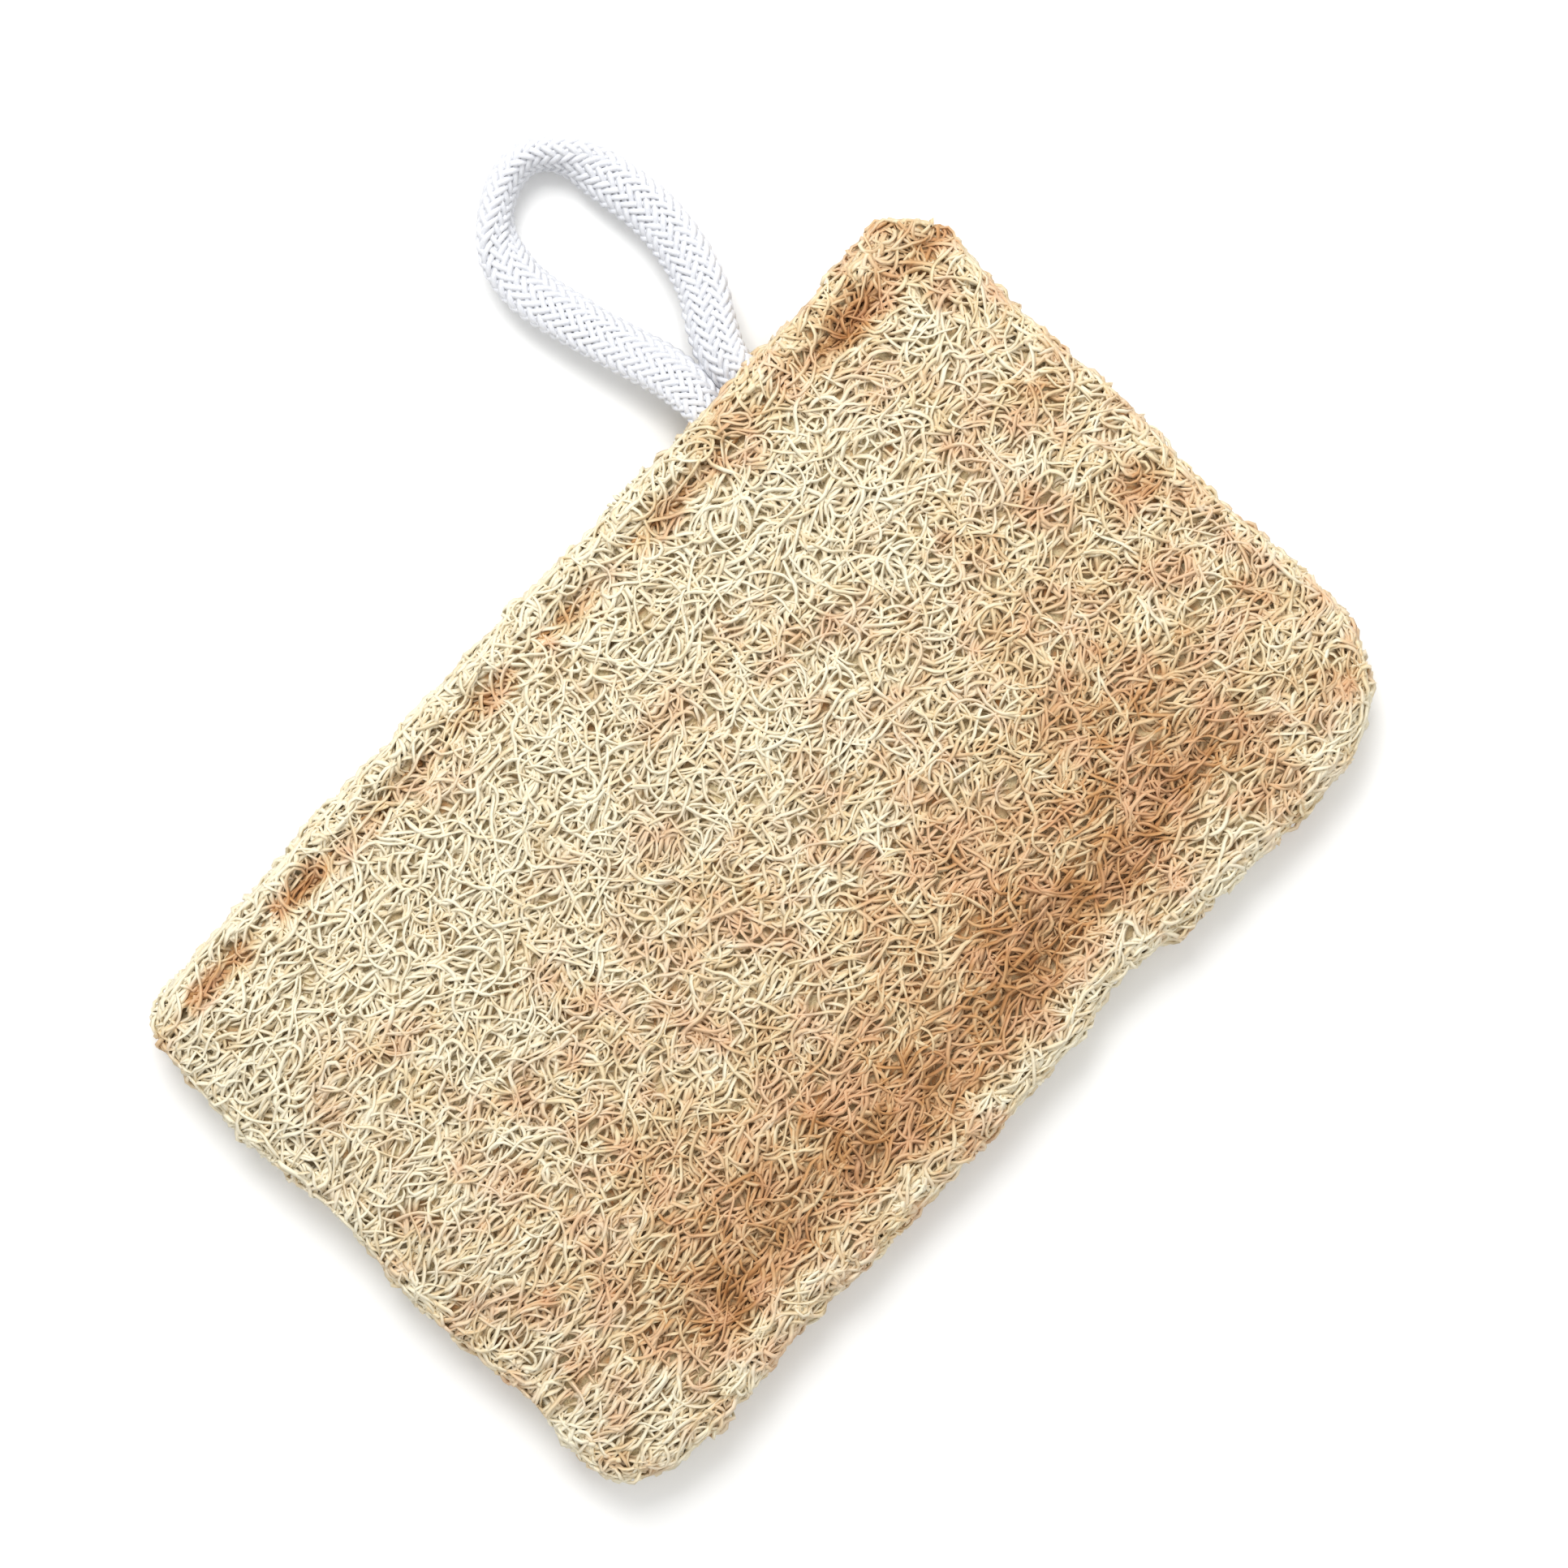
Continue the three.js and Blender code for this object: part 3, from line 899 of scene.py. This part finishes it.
@dataclass
class FibreLayer:
    """One layer of the pad's net: many curling strands that wander over a face or round the rim."""

    name: str
    face: Face
    strands: int
    seed: int
    steps: int = 8
    step: float = 0.85
    raise_by: float = 0.0
    spread: float = 0.2
    weave: float = 0.3
    weave_period: Span = (3.0, 5.2)
    dive: float = 0.9
    dive_length: float = 0.9
    radius: float = 0.26
    radius_share: Span = (0.78, 1.2)
    tip_share: float = 0.62
    tip_growth: float = 0.2
    curl: float = 0.27
    bend_kept: float = 0.75
    grain_least: float = 0.1
    grain_near: Rise = Rise(34.0, 10.0, 0.12)
    grain_left: Rise = Rise(-30.0, -66.0, 0.12)
    start_reach: float = 1000.0
    start_ratios: Span = (0.7548776662, 0.5698402910)
    edge_gap: float = 0.7
    clearance: float = 1.35
    bridge: Span = (-1.2, 1.0)
    rim_points: int = 1800
    rim_start: float = 1.35
    rim_limit: float = 1.5
    rim_heading: float = 0.75
    rim_bend_kept: float = 0.7
    rim_bend_new: float = 0.8
    rim_grain: float = 0.05
    rim_girth: float = 4.2
    rim_rough: Patchwork = Patchwork(0.3, 6.0, 5)
    mouth_least: float = 0.1
    mouth_core: float = 0.3
    skin: float = 0.3
    # How deep a strand lies when it takes the most painted shade, and that most share.
    depth_shade_reach: float = 3.0
    depth_shade_most: float = 0.7
    form: PadForm = PadForm()
    stains_and_shade: PadStainsAndShade = PadStainsAndShade()

    def __post_init__(self) -> None:
        """Starts the layer's own random draws."""
        self.rng = np.random.default_rng(self.seed)

    def grain(self, x: Points, y: Points) -> Points:
        """How strongly strands are drawn along the pad: more towards the free edge and the left end."""
        _, _, to_near = self.form.distances(x, y)
        return self.grain_least + self.grain_near.at(to_near) + self.grain_left.at(x)

    def wander(self) -> tuple[Points, Points]:
        """Walks every strand over the pad in plan, from evenly spread starts.

        Returns:
            x and y of each strand's points, mm, one row a strand.
        """
        form = self.form
        count = np.arange(self.strands) + self.rng.uniform(0, self.start_reach)
        x = form.half_length * (2 * np.mod(count * self.start_ratios[0], 1.0) - 1)
        y = form.loop_edge_y * (2 * np.mod(count * self.start_ratios[1], 1.0) - 1)
        heading = self.rng.uniform(0, FULL_TURN, self.strands)
        bend = self.rng.normal(0.0, self.curl, self.strands)
        xs = np.empty((self.strands, self.steps))
        ys = np.empty((self.strands, self.steps))
        for k in range(self.steps):
            x, y = form.pulled_in(x, y, self.edge_gap)
            xs[:, k] = x
            ys[:, k] = y
            bend = self.bend_kept * bend + self.rng.normal(0.0, self.bend_kept * self.curl, self.strands)
            heading = heading + bend - self.grain(x, y) * np.sin(2 * heading)
            x = x + self.step * np.cos(heading)
            y = y + self.step * np.sin(heading)
        return xs, ys

    def ride_height(self) -> Points:
        """How high each point of each strand rides over its face, weaving over and under.

        Returns:
            Heights in mm, one row a strand, lower at both ends.
        """
        count = np.arange(self.steps) * self.step
        phase = self.rng.uniform(0, FULL_TURN, (self.strands, 1))
        period = self.rng.uniform(*self.weave_period, (self.strands, 1))
        level = self.raise_by + self.rng.uniform(-self.spread, self.spread, (self.strands, 1))
        ends = np.minimum(count, count[-1] - count)
        dive = self.dive * np.exp(-ends / self.dive_length)
        return level + self.weave * np.sin(phase + FULL_TURN * count / period) - dive

    def thickness(self) -> Points:
        """The radius at each point of each strand, thinner at its ends.

        Returns:
            Radii in mm, one row a strand.
        """
        count = np.arange(self.steps)
        ends = np.minimum(count, count[-1] - count)
        taper = np.clip(self.tip_share + self.tip_growth * ends, 0.0, 1.0)
        return self.radius * self.rng.uniform(*self.radius_share, (self.strands, 1)) * taper

    def face_lines(self) -> tuple[Points, Points]:
        """Lays the strands of an upper or lower face; some bridge the seam's groove.

        Returns:
            The strands' points and radii, mm.
        """
        x, y = self.wander()
        upper, lower = self.form.faces(x, y)
        ride = self.ride_height()
        radii = self.thickness()
        if self.face is Face.UPPER:
            _, to_far, _ = self.form.distances(x, y)
            seam = hump(self.form.from_seam(x, to_far), self.form.seam_width)
            bridge = np.maximum(0.0, self.rng.uniform(*self.bridge, (self.strands, 1))) * seam
            z = upper + ride + bridge
        else:
            z = np.maximum(lower - ride, self.clearance * radii)
        return np.stack([x, y, z], axis=2), radii

    def rim_walk(self, length: float) -> tuple[Points, Points]:
        """Walks every strand round the rim.

        Args:
            length: the outline's length, mm.

        Returns:
            How far along the outline each point lies, mm, and how far it turns up from the rim's
            middle, in radians, one row a strand.
        """
        station = self.rng.uniform(0, length, self.strands)
        turn = self.rng.uniform(-self.rim_start, self.rim_start, self.strands)
        heading = self.rng.normal(0.0, self.rim_heading, self.strands)
        heading = heading + math.pi * self.rng.integers(0, 2, self.strands)
        bend = self.rng.normal(0.0, self.curl, self.strands)
        stations = np.empty((self.strands, self.steps))
        turns = np.empty((self.strands, self.steps))
        for k in range(self.steps):
            stations[:, k] = station
            turns[:, k] = turn
            fresh = self.rng.normal(0.0, self.rim_bend_new * self.curl, self.strands)
            bend = self.rim_bend_kept * bend + fresh
            heading = heading + bend - self.rim_grain * np.sin(2 * heading)
            station = station + self.step * np.cos(heading)
            turn = turn + self.step * np.sin(heading) / self.rim_girth
            turn = np.clip(turn, -self.rim_limit, self.rim_limit)
        return stations, turns

    def rim_lines(self) -> tuple[Points, Points]:
        """Lays the strands round the rim, where they turn over from one face to the other.

        Returns:
            The strands' points and radii, mm.
        """
        form = self.form
        ring = form.outline(self.rim_points)
        length = float(run_along(ring)[-1])
        stations, turns = self.rim_walk(length)
        around = np.mod(stations, length) / length * self.rim_points
        first = around.astype(int) % self.rim_points
        share = (around - around.astype(int))[..., None]
        place = ring[first] + (ring[first + 1] - ring[first]) * share
        x, y = place[..., 0], place[..., 1]
        in_x, in_y = form.inwards(x, y)
        upper, lower = form.open_faces(x + in_x * form.rim_round, y + in_y * form.rim_round)
        radii = self.thickness()
        lift = self.ride_height() + self.rim_rough.at(x, y)
        depth = form.rim_round * (1.0 - np.cos(turns)) - lift * np.cos(turns)
        z = (upper + lower) / 2 + ((upper - lower) / 2 + lift) * np.sin(turns)
        z = np.maximum(z, self.clearance * radii)
        return np.stack([x + in_x * depth, y + in_y * depth, z], axis=2), radii

    def part_round_cord(self, lines: Points) -> tuple[Points, Points]:
        """Parts the strands round the mouth where the cord enters the edge.

        Args:
            lines: the strands' points, mm.

        Returns:
            The points, moved out of the mouth, and True for each strand that stays.
        """
        off = lines[..., [0, 2]] - [self.form.root_x, self.form.mouth_z]
        level = ((off / [self.form.mouth_wide, self.form.mouth_high]) ** 2).sum(axis=2)
        level = np.where(lines[..., 1] > self.form.mouth_from, level, 1.0)
        grown = 1.0 / np.sqrt(np.clip(level, self.mouth_least, 1.0))
        parted = lines.copy()
        parted[..., [0, 2]] += off * (grown - 1.0)[..., None]
        return parted, ~(level < self.mouth_core).any(axis=1)

    def build(self) -> bpy.types.Object:
        """Makes the layer's mesh, with how orange each place is, painted shade included, how deep it lies,
        for painted shade, and how tinted it is.

        Returns:
            The mesh object.
        """
        lines, radii = self.rim_lines() if self.face is Face.RIM else self.face_lines()
        lines, kept = self.part_round_cord(lines)
        piece = tubes(self.name, list(lines[kept]), list(radii[kept]))
        x, y, z = vertex_places(piece).T
        tint = self.rng.uniform(0.0, 1.0, int(kept.sum()))
        write_attribute(piece, "tint", np.repeat(tint, len(x) // len(tint)))
        upper, lower = self.form.faces(x, y)
        # Strands lying deeper below a face take painted shade through the depth attribute; rim strands take
        # none.
        below = np.minimum(upper + self.skin - z, z - lower + self.skin)
        depth_shade = np.clip(below / self.depth_shade_reach, 0.0, self.depth_shade_most)
        write_attribute(piece, "warmth_and_shade", self.stains_and_shade.warmth_and_shade(x, y))
        write_attribute(piece, "depth", np.zeros_like(z) if self.face is Face.RIM else depth_shade)
        return piece


@dataclass
class LoofahPad:
    """The loofah pad: an inner mat of tangled fibre and the net of strands over both faces and the rim."""

    form: PadForm = PadForm()
    stains_and_shade: PadStainsAndShade = PadStainsAndShade()
    mat_sink: float = 1.1
    mat_inset: float = 1.3
    mat_cuts: int = 40
    mat_pulls: int = 3
    mat_rough_mm: float = 2.2
    mat_rough_depth: float = 0.8

    def layers(self) -> list[FibreLayer]:
        """The net's layers, from the deepest to the outermost of each face, and then the rim's.

        Returns:
            The layers in the order of building.
        """
        return [
            FibreLayer("fibre_upper_deep", Face.UPPER, 2200, 11, raise_by=-0.7, radius=0.28),
            FibreLayer("fibre_upper_fill", Face.UPPER, 2900, 14, raise_by=-0.45, radius=0.28),
            FibreLayer("fibre_upper_middle", Face.UPPER, 3900, 12, raise_by=-0.2),
            FibreLayer(
                "fibre_upper_surface", Face.UPPER, 3300, 13, steps=10, raise_by=0.12, spread=0.16,
                weave=0.2, radius=0.22,
            ),
            FibreLayer(
                "fibre_lower", Face.LOWER, 3500, 15, step=1.2, raise_by=-0.3, spread=0.35, radius=0.31,
            ),
            FibreLayer("fibre_rim_inner", Face.RIM, 1250, 16, raise_by=-0.4, spread=0.25, curl=0.36),
            FibreLayer("fibre_rim_surface", Face.RIM, 1550, 17, spread=0.25, curl=0.4),
        ]

    def build_mat(self) -> bpy.types.Object:
        """Makes the inner mat from a box, cut up and pressed to the pad's form.

        Returns:
            The mat's mesh object.
        """
        form = self.form
        clear_selection()
        bpy.ops.mesh.primitive_cube_add(size=2.0)
        mat = bpy.context.object
        mat.name = "inner_fibre_mat"
        bpy.ops.object.mode_set(mode="EDIT")
        bpy.ops.mesh.select_all(action="SELECT")
        bpy.ops.mesh.subdivide(number_cuts=self.mat_cuts)
        bpy.ops.object.mode_set(mode="OBJECT")
        along, across, height = (vertex_places(mat) * MM).T
        x = along * (form.half_length - self.mat_inset)
        far = form.far_edge(x) - self.mat_inset
        near = form.free_edge(x) + self.mat_inset
        y = near + (far - near) * (np.clip(across, -1, 1) + 1) / 2
        for _ in range(self.mat_pulls):
            x, y = form.pulled_in(x, y, self.mat_inset)
        upper, lower = form.faces(x, y)
        top = upper - self.mat_sink
        bottom = lower + self.mat_sink
        z = bottom + (top - bottom) * (height + 1) / 2
        mat.data.vertices.foreach_set("co", (np.stack([x, y, z], axis=1) * MM).ravel())
        mat.data.update()
        self.roughen(mat)
        # The mat's warmth carries painted shade as the strands' does.
        write_attribute(mat, "warmth_and_shade", self.stains_and_shade.warmth_and_shade(x, y))
        bpy.ops.object.shade_smooth()
        clear_selection()
        return mat

    def roughen(self, mat: bpy.types.Object) -> None:
        """Breaks up the mat's faces with a displacement as wide as a few strands.

        Args:
            mat: the mat's mesh object.
        """
        clouds = bpy.data.textures.new("mat_tangle", "CLOUDS")
        clouds.noise_scale = self.mat_rough_mm * MM
        rough = mat.modifiers.new("tangle", "DISPLACE")
        rough.texture = clouds
        rough.strength = self.mat_rough_depth * MM
        rough.mid_level = 0.5
        activate(mat)
        bpy.ops.object.modifier_apply(modifier=rough.name)
        bpy.data.textures.remove(clouds)

    def build(self) -> list[bpy.types.Object]:
        """Makes and dresses every piece of the pad.

        Returns:
            The pieces, the mat first.
        """
        mat = self.build_mat()
        finish_piece(mat, MatFinish().build(), "loofah_pad")
        fibre = FibreFinish().build()
        pieces = [mat]
        for layer in self.layers():
            piece = layer.build()
            finish_piece(piece, fibre, "loofah_pad")
            pieces.append(piece)
        return pieces


@dataclass
class CordLoop:
    """The hanging loop: a flat oval braid of twenty-four yarns, over two and under two, on a plain core.

    Turns say how far the cord's wide side stands up, from 0, lying flat, to 1, on edge, at shares of
    its length.
    """

    route: tuple[Place, ...] = (
        (33.9, 37.2, 5.9), (33.9, 41.6, 5.9), (34.2, 46.0, 5.8), (33.9, 50.2, 5.5), (32.5, 55.6, 5.0),
        (30.7, 62.8, 4.5), (29.5, 70.4, 4.1), (31.2, 76.6, 3.9), (35.9, 80.6, 3.8), (41.2, 81.2, 3.8),
        (44.9, 77.4, 3.8), (46.6, 70.2, 3.9), (46.8, 62.6, 4.3), (44.8, 55.0, 4.9), (41.9, 50.4, 5.4),
        (40.0, 46.4, 5.8), (39.5, 41.8, 5.9), (39.5, 37.2, 5.9),
    )
    route_steps: int = 40
    turns: tuple[Span, ...] = (
        (0, 0.5), (0.07, 0.4), (0.13, 0.15), (0.37, 0.12), (0.44, 0.85), (0.5, 0.9),
        (0.56, 0.85), (0.63, 0.12), (0.87, 0.15), (0.93, 0.4), (1, 0.5),
    )
    turn_blur: int = 16
    width: float = 6.7
    thick: float = 4.2
    yarns_each_way: int = 12
    yarn_sides: int = 4
    pitch: float = 17.0
    yarn_radius: float = 0.42
    crossing_rise: float = 0.2
    crossing_phase: float = 0.6
    oval_steps: int = 720
    core_sides: int = 16
    core_every: int = 8
    path_every: int = 4
    step: float = 0.2
    exit_y: float = 43.8

    def centreline(self) -> Points:
        """The cord's middle line, a smooth curve through its route.

        Returns:
            Evenly spaced points, mm.
        """
        pegs = np.array(self.route)
        before = 2 * pegs[0] - pegs[1]
        after = 2 * pegs[-1] - pegs[-2]
        posts = np.vstack([before, pegs, after])
        share = np.linspace(0, 1, self.route_steps, endpoint=False)[:, None]
        runs = []
        for a, b, c, d in zip(posts[:-3], posts[1:-2], posts[2:-1], posts[3:]):
            cubic = -a + 3 * b - 3 * c + d
            square = 2 * a - 5 * b + 4 * c - d
            runs.append(0.5 * (2 * b + (c - a) * share + square * share ** 2 + cubic * share ** 3))
        line = np.vstack(runs + [pegs[-1:]])
        return resample(line, int(run_along(line)[-1] / self.step) + 1)

    def section(self, line: Points) -> tuple[Points, Points]:
        """The directions of the cord's wide and thin sides along its line.

        Args:
            line: the cord's middle line, mm.

        Returns:
            Unit vectors along the wide and the thin side at each point.
        """
        ahead = unit(np.gradient(line, axis=0))
        side = unit(np.cross(ahead, [0.0, 0.0, 1.0]))
        up = np.cross(side, ahead)
        stations, shares = zip(*self.turns)
        angle = -np.interp(np.linspace(0, 1, len(line)), stations, shares) * math.pi / 2
        kernel = np.hanning(2 * self.turn_blur + 1)
        padded = np.pad(angle, self.turn_blur, mode="edge")
        angle = np.convolve(padded, kernel / kernel.sum(), mode="valid")[:, None]
        return np.cos(angle) * side + np.sin(angle) * up, np.cos(angle) * up - np.sin(angle) * side

    def around(self, share: Points) -> Points:
        """Turns shares of the way round the oval into its angles, evenly along its edge.

        Args:
            share: shares of the way round.

        Returns:
            Angles in radians.
        """
        angle = np.linspace(0, FULL_TURN, self.oval_steps + 1)
        run = np.hypot(self.width * np.sin(angle), self.thick * np.cos(angle))
        along = np.concatenate([[0.0], np.cumsum((run[1:] + run[:-1]) / 2)])
        return np.interp(np.mod(share, 1.0), along / along[-1], angle)

    def yarns(self, line: Points) -> list[Points]:
        """The paths of the braid's yarns, over two and under two.

        Args:
            line: the cord's middle line, mm.

        Returns:
            One path a yarn, mm.
        """
        wide, thin = self.section(line)
        along = np.arange(len(line)) * self.step
        mid = self.yarn_radius + self.crossing_rise
        paths = []
        for hand in (1, -1):
            for number in range(self.yarns_each_way):
                crossing = 2 * number + hand * 2 * self.yarns_each_way * along / self.pitch
                rise = hand * self.crossing_rise * np.sin(math.pi * crossing / 2 + self.crossing_phase)
                angle = self.around(hand * along / self.pitch + number / self.yarns_each_way)[:, None]
                reach_wide = (self.width / 2 - mid + rise)[:, None]
                reach_thin = (self.thick / 2 - mid + rise)[:, None]
                paths.append(line + wide * reach_wide * np.cos(angle) + thin * reach_thin * np.sin(angle))
        return paths

    def core(self, line: Points) -> bpy.types.Object:
        """Makes the plain oval core under the yarns.

        Args:
            line: the cord's middle line, mm.

        Returns:
            The core's mesh object.
        """
        sides = self.core_sides
        every = line[::self.core_every]
        wide, thin = (way[::self.core_every, None, :] for way in self.section(line))
        turn = np.linspace(0, FULL_TURN, sides, endpoint=False)[None, :, None]
        inset = 2 * self.yarn_radius + self.crossing_rise
        reach_wide = (self.width / 2 - inset) * np.cos(turn)
        reach_thin = (self.thick / 2 - inset) * np.sin(turn)
        rings = every[:, None, :] + wide * reach_wide + thin * reach_thin
        number = np.arange(len(every) * sides).reshape(-1, sides)
        after = np.roll(number, -1, axis=1)
        walls = np.stack([number[:-1], after[:-1], after[1:], number[1:]], axis=2)
        faces = walls.reshape(-1, 4).tolist() + [number[0, ::-1].tolist(), number[-1].tolist()]
        mesh = bpy.data.meshes.new("cord_core")
        mesh.from_pydata((rings.reshape(-1, 3) * MM).tolist(), [], faces)
        core = bpy.data.objects.new("cord_core", mesh)
        bpy.context.scene.collection.objects.link(core)
        activate(core)
        bpy.ops.object.mode_set(mode="EDIT")
        bpy.ops.mesh.select_all(action="SELECT")
        bpy.ops.mesh.normals_make_consistent(inside=False)
        bpy.ops.object.mode_set(mode="OBJECT")
        bpy.ops.object.shade_smooth()
        return core

    def build(self) -> list[bpy.types.Object]:
        """Returns:
            The cord's one piece.
        """
        line = self.centreline()
        paths = self.yarns(line)
        radii = [np.full(len(path), self.yarn_radius) for path in paths]
        braid = tubes("cord_loop_braid", paths, radii, self.yarn_sides)
        activate(braid, self.core(line))
        bpy.ops.object.join()
        clear_selection()
        finish_piece(braid, CordFinish().build(), "cord_loop")
        return [braid]


@dataclass
class SeamThread:
    """The running stitch inside the loop edge: two plies twisted together, above and below by turns."""

    form: PadForm = PadForm()
    seam_from: float = -64.0
    seam_to: float = 64.0
    lie: float = -0.3
    lower_rest: float = 0.5
    lower_least: float = 0.6
    stitch_points: int = 6
    ply_radius: float = 0.27
    ply_apart: float = 0.8
    ply_twist: float = 2.6
    ply_sides: int = 4
    step: float = 0.45

    def needle_holes(self) -> list[float]:
        """Where the thread goes through the pad.

        Returns:
            The holes' x in order, mm.
        """
        form = self.form
        period = form.stitch_above + form.stitch_below
        holes: list[float] = []
        x = form.root_x - form.root_stitch / 2
        while x > self.seam_from:
            holes[:0] = [x - form.stitch_below, x]
            x -= period
        holes.pop(0)
        x = form.root_x + form.root_stitch / 2
        while x < self.seam_to:
            holes += [x, x + form.stitch_below]
            x += period
        return holes

    def path(self) -> Points:
        """The thread's middle line, stitch after stitch.

        Returns:
            Evenly spaced points, mm.
        """
        form = self.form
        corners: list[Place] = []
        holes = self.needle_holes()
        for k, (start, end) in enumerate(zip(holes[:-1], holes[1:])):
            x = np.linspace(start, end, self.stitch_points)
            y = form.seam_y - form.seam_slope * x
            upper, lower = form.faces(x, y)
            below = np.maximum(lower + self.lower_rest, self.lower_least)
            corners += list(zip(x, y, upper + self.lie if k % 2 == 0 else below))
        line = np.array(corners)
        return resample(line, int(run_along(line)[-1] / self.step))

    def build(self) -> list[bpy.types.Object]:
        """Makes the thread and dresses it.

        Returns:
            The thread's one piece.
        """
        line = self.path()
        side = np.tile([0.0, 1.0, 0.0], (len(line), 1))
        up = np.cross(unit(np.gradient(line, axis=0)), side)
        twist = (FULL_TURN * np.arange(len(line)) * self.step / self.ply_twist)[:, None]
        arm = self.ply_apart * self.ply_radius
        plies = [
            line + arm * (side * np.cos(twist + turn) + up * np.sin(twist + turn)) for turn in (0.0, math.pi)
        ]
        radii = [np.full(len(ply), self.ply_radius) for ply in plies]
        thread = tubes("seam_stitches", plies, radii, self.ply_sides)
        finish_piece(thread, ThreadFinish().build(), "seam_thread")
        return [thread]


@dataclass(frozen=True)
class Lamp:
    """A soft square lamp: its place right of, above and towards the camera from the view's middle, mm."""

    name: str
    place: Place
    size: float
    power: float


@dataclass
class Studio:
    """The pale floor, the soft light and the camera that looks straight down on the pad."""

    centre: Place = (7.13, 4.78, 5.5)
    view_turn: float = -46.36
    frame_width: float = 193.2
    lens: float = 100.0
    sensor: float = 36.0
    clip_start: float = 10.0
    floor_size: float = 3000.0
    air_colour: str = "#FFFFFF"
    air_strength: float = 0.78
    lamps: tuple[Lamp, ...] = (
        Lamp("key_light", (-120.0, 420.0, 620.0), 380.0, 4.0),
        Lamp("fill_light", (500.0, 100.0, 600.0), 500.0, 0.5),
    )

    def set_camera(self) -> None:
        """Sets the camera over the pad."""
        reach = self.frame_width * self.lens / self.sensor
        clear_selection()
        bpy.ops.object.camera_add(
            location=(self.centre[0] * MM, self.centre[1] * MM, (self.centre[2] + reach) * MM),
            rotation=(0.0, 0.0, math.radians(self.view_turn)),
        )
        camera = bpy.context.object
        camera.name = "view_from_above"
        camera.data.lens = self.lens
        camera.data.sensor_width = self.sensor
        camera.data.clip_start = self.clip_start * MM
        bpy.context.scene.camera = camera

    def set_lamp(self, lamp: Lamp) -> None:
        """Adds a lamp that points at the pad.

        Args:
            lamp: its name, place, side in mm and power in watts.
        """
        turn = math.radians(self.view_turn)
        right, up, near = lamp.place
        x = self.centre[0] + right * math.cos(turn) - up * math.sin(turn)
        y = self.centre[1] + right * math.sin(turn) + up * math.cos(turn)
        spot = Vector((x, y, self.centre[2] + near)) * MM
        aim = Vector(self.centre) * MM - spot
        clear_selection()
        bpy.ops.object.light_add(type="AREA", location=spot, rotation=aim.to_track_quat("-Z", "Y").to_euler())
        light = bpy.context.object
        light.name = lamp.name
        light.data.size = lamp.size * MM
        light.data.energy = lamp.power

    def build(self) -> None:
        """Makes the floor, the light and the camera."""
        clear_selection()
        bpy.ops.mesh.primitive_plane_add(size=self.floor_size * MM, location=(0.0, 0.0, 0.0))
        floor = bpy.context.object
        floor.name = "studio_floor"
        floor.data.materials.append(FloorFinish().build())
        world = bpy.data.worlds.new("studio_air")
        world.use_nodes = True
        air = world.node_tree.nodes["Background"]
        air.inputs["Color"].default_value = linear(self.air_colour)
        air.inputs["Strength"].default_value = self.air_strength
        bpy.context.scene.world = world
        bpy.context.scene.view_settings.view_transform = "Standard"
        for lamp in self.lamps:
            self.set_lamp(lamp)
        self.set_camera()


def main() -> None:
    """Builds the studio and every piece of the pad."""
    logging.basicConfig(level=logging.INFO, format="%(name)s: %(message)s")
    Studio().build()
    for assembly in (CordLoop(), SeamThread(), LoofahPad()):
        for piece in assembly.build():
            piece.data.calc_loop_triangles()
            LOG.info("%s: %d triangles", piece.name, len(piece.data.loop_triangles))
    LOG.info("sizes written")


if __name__ == "__main__":
    main()
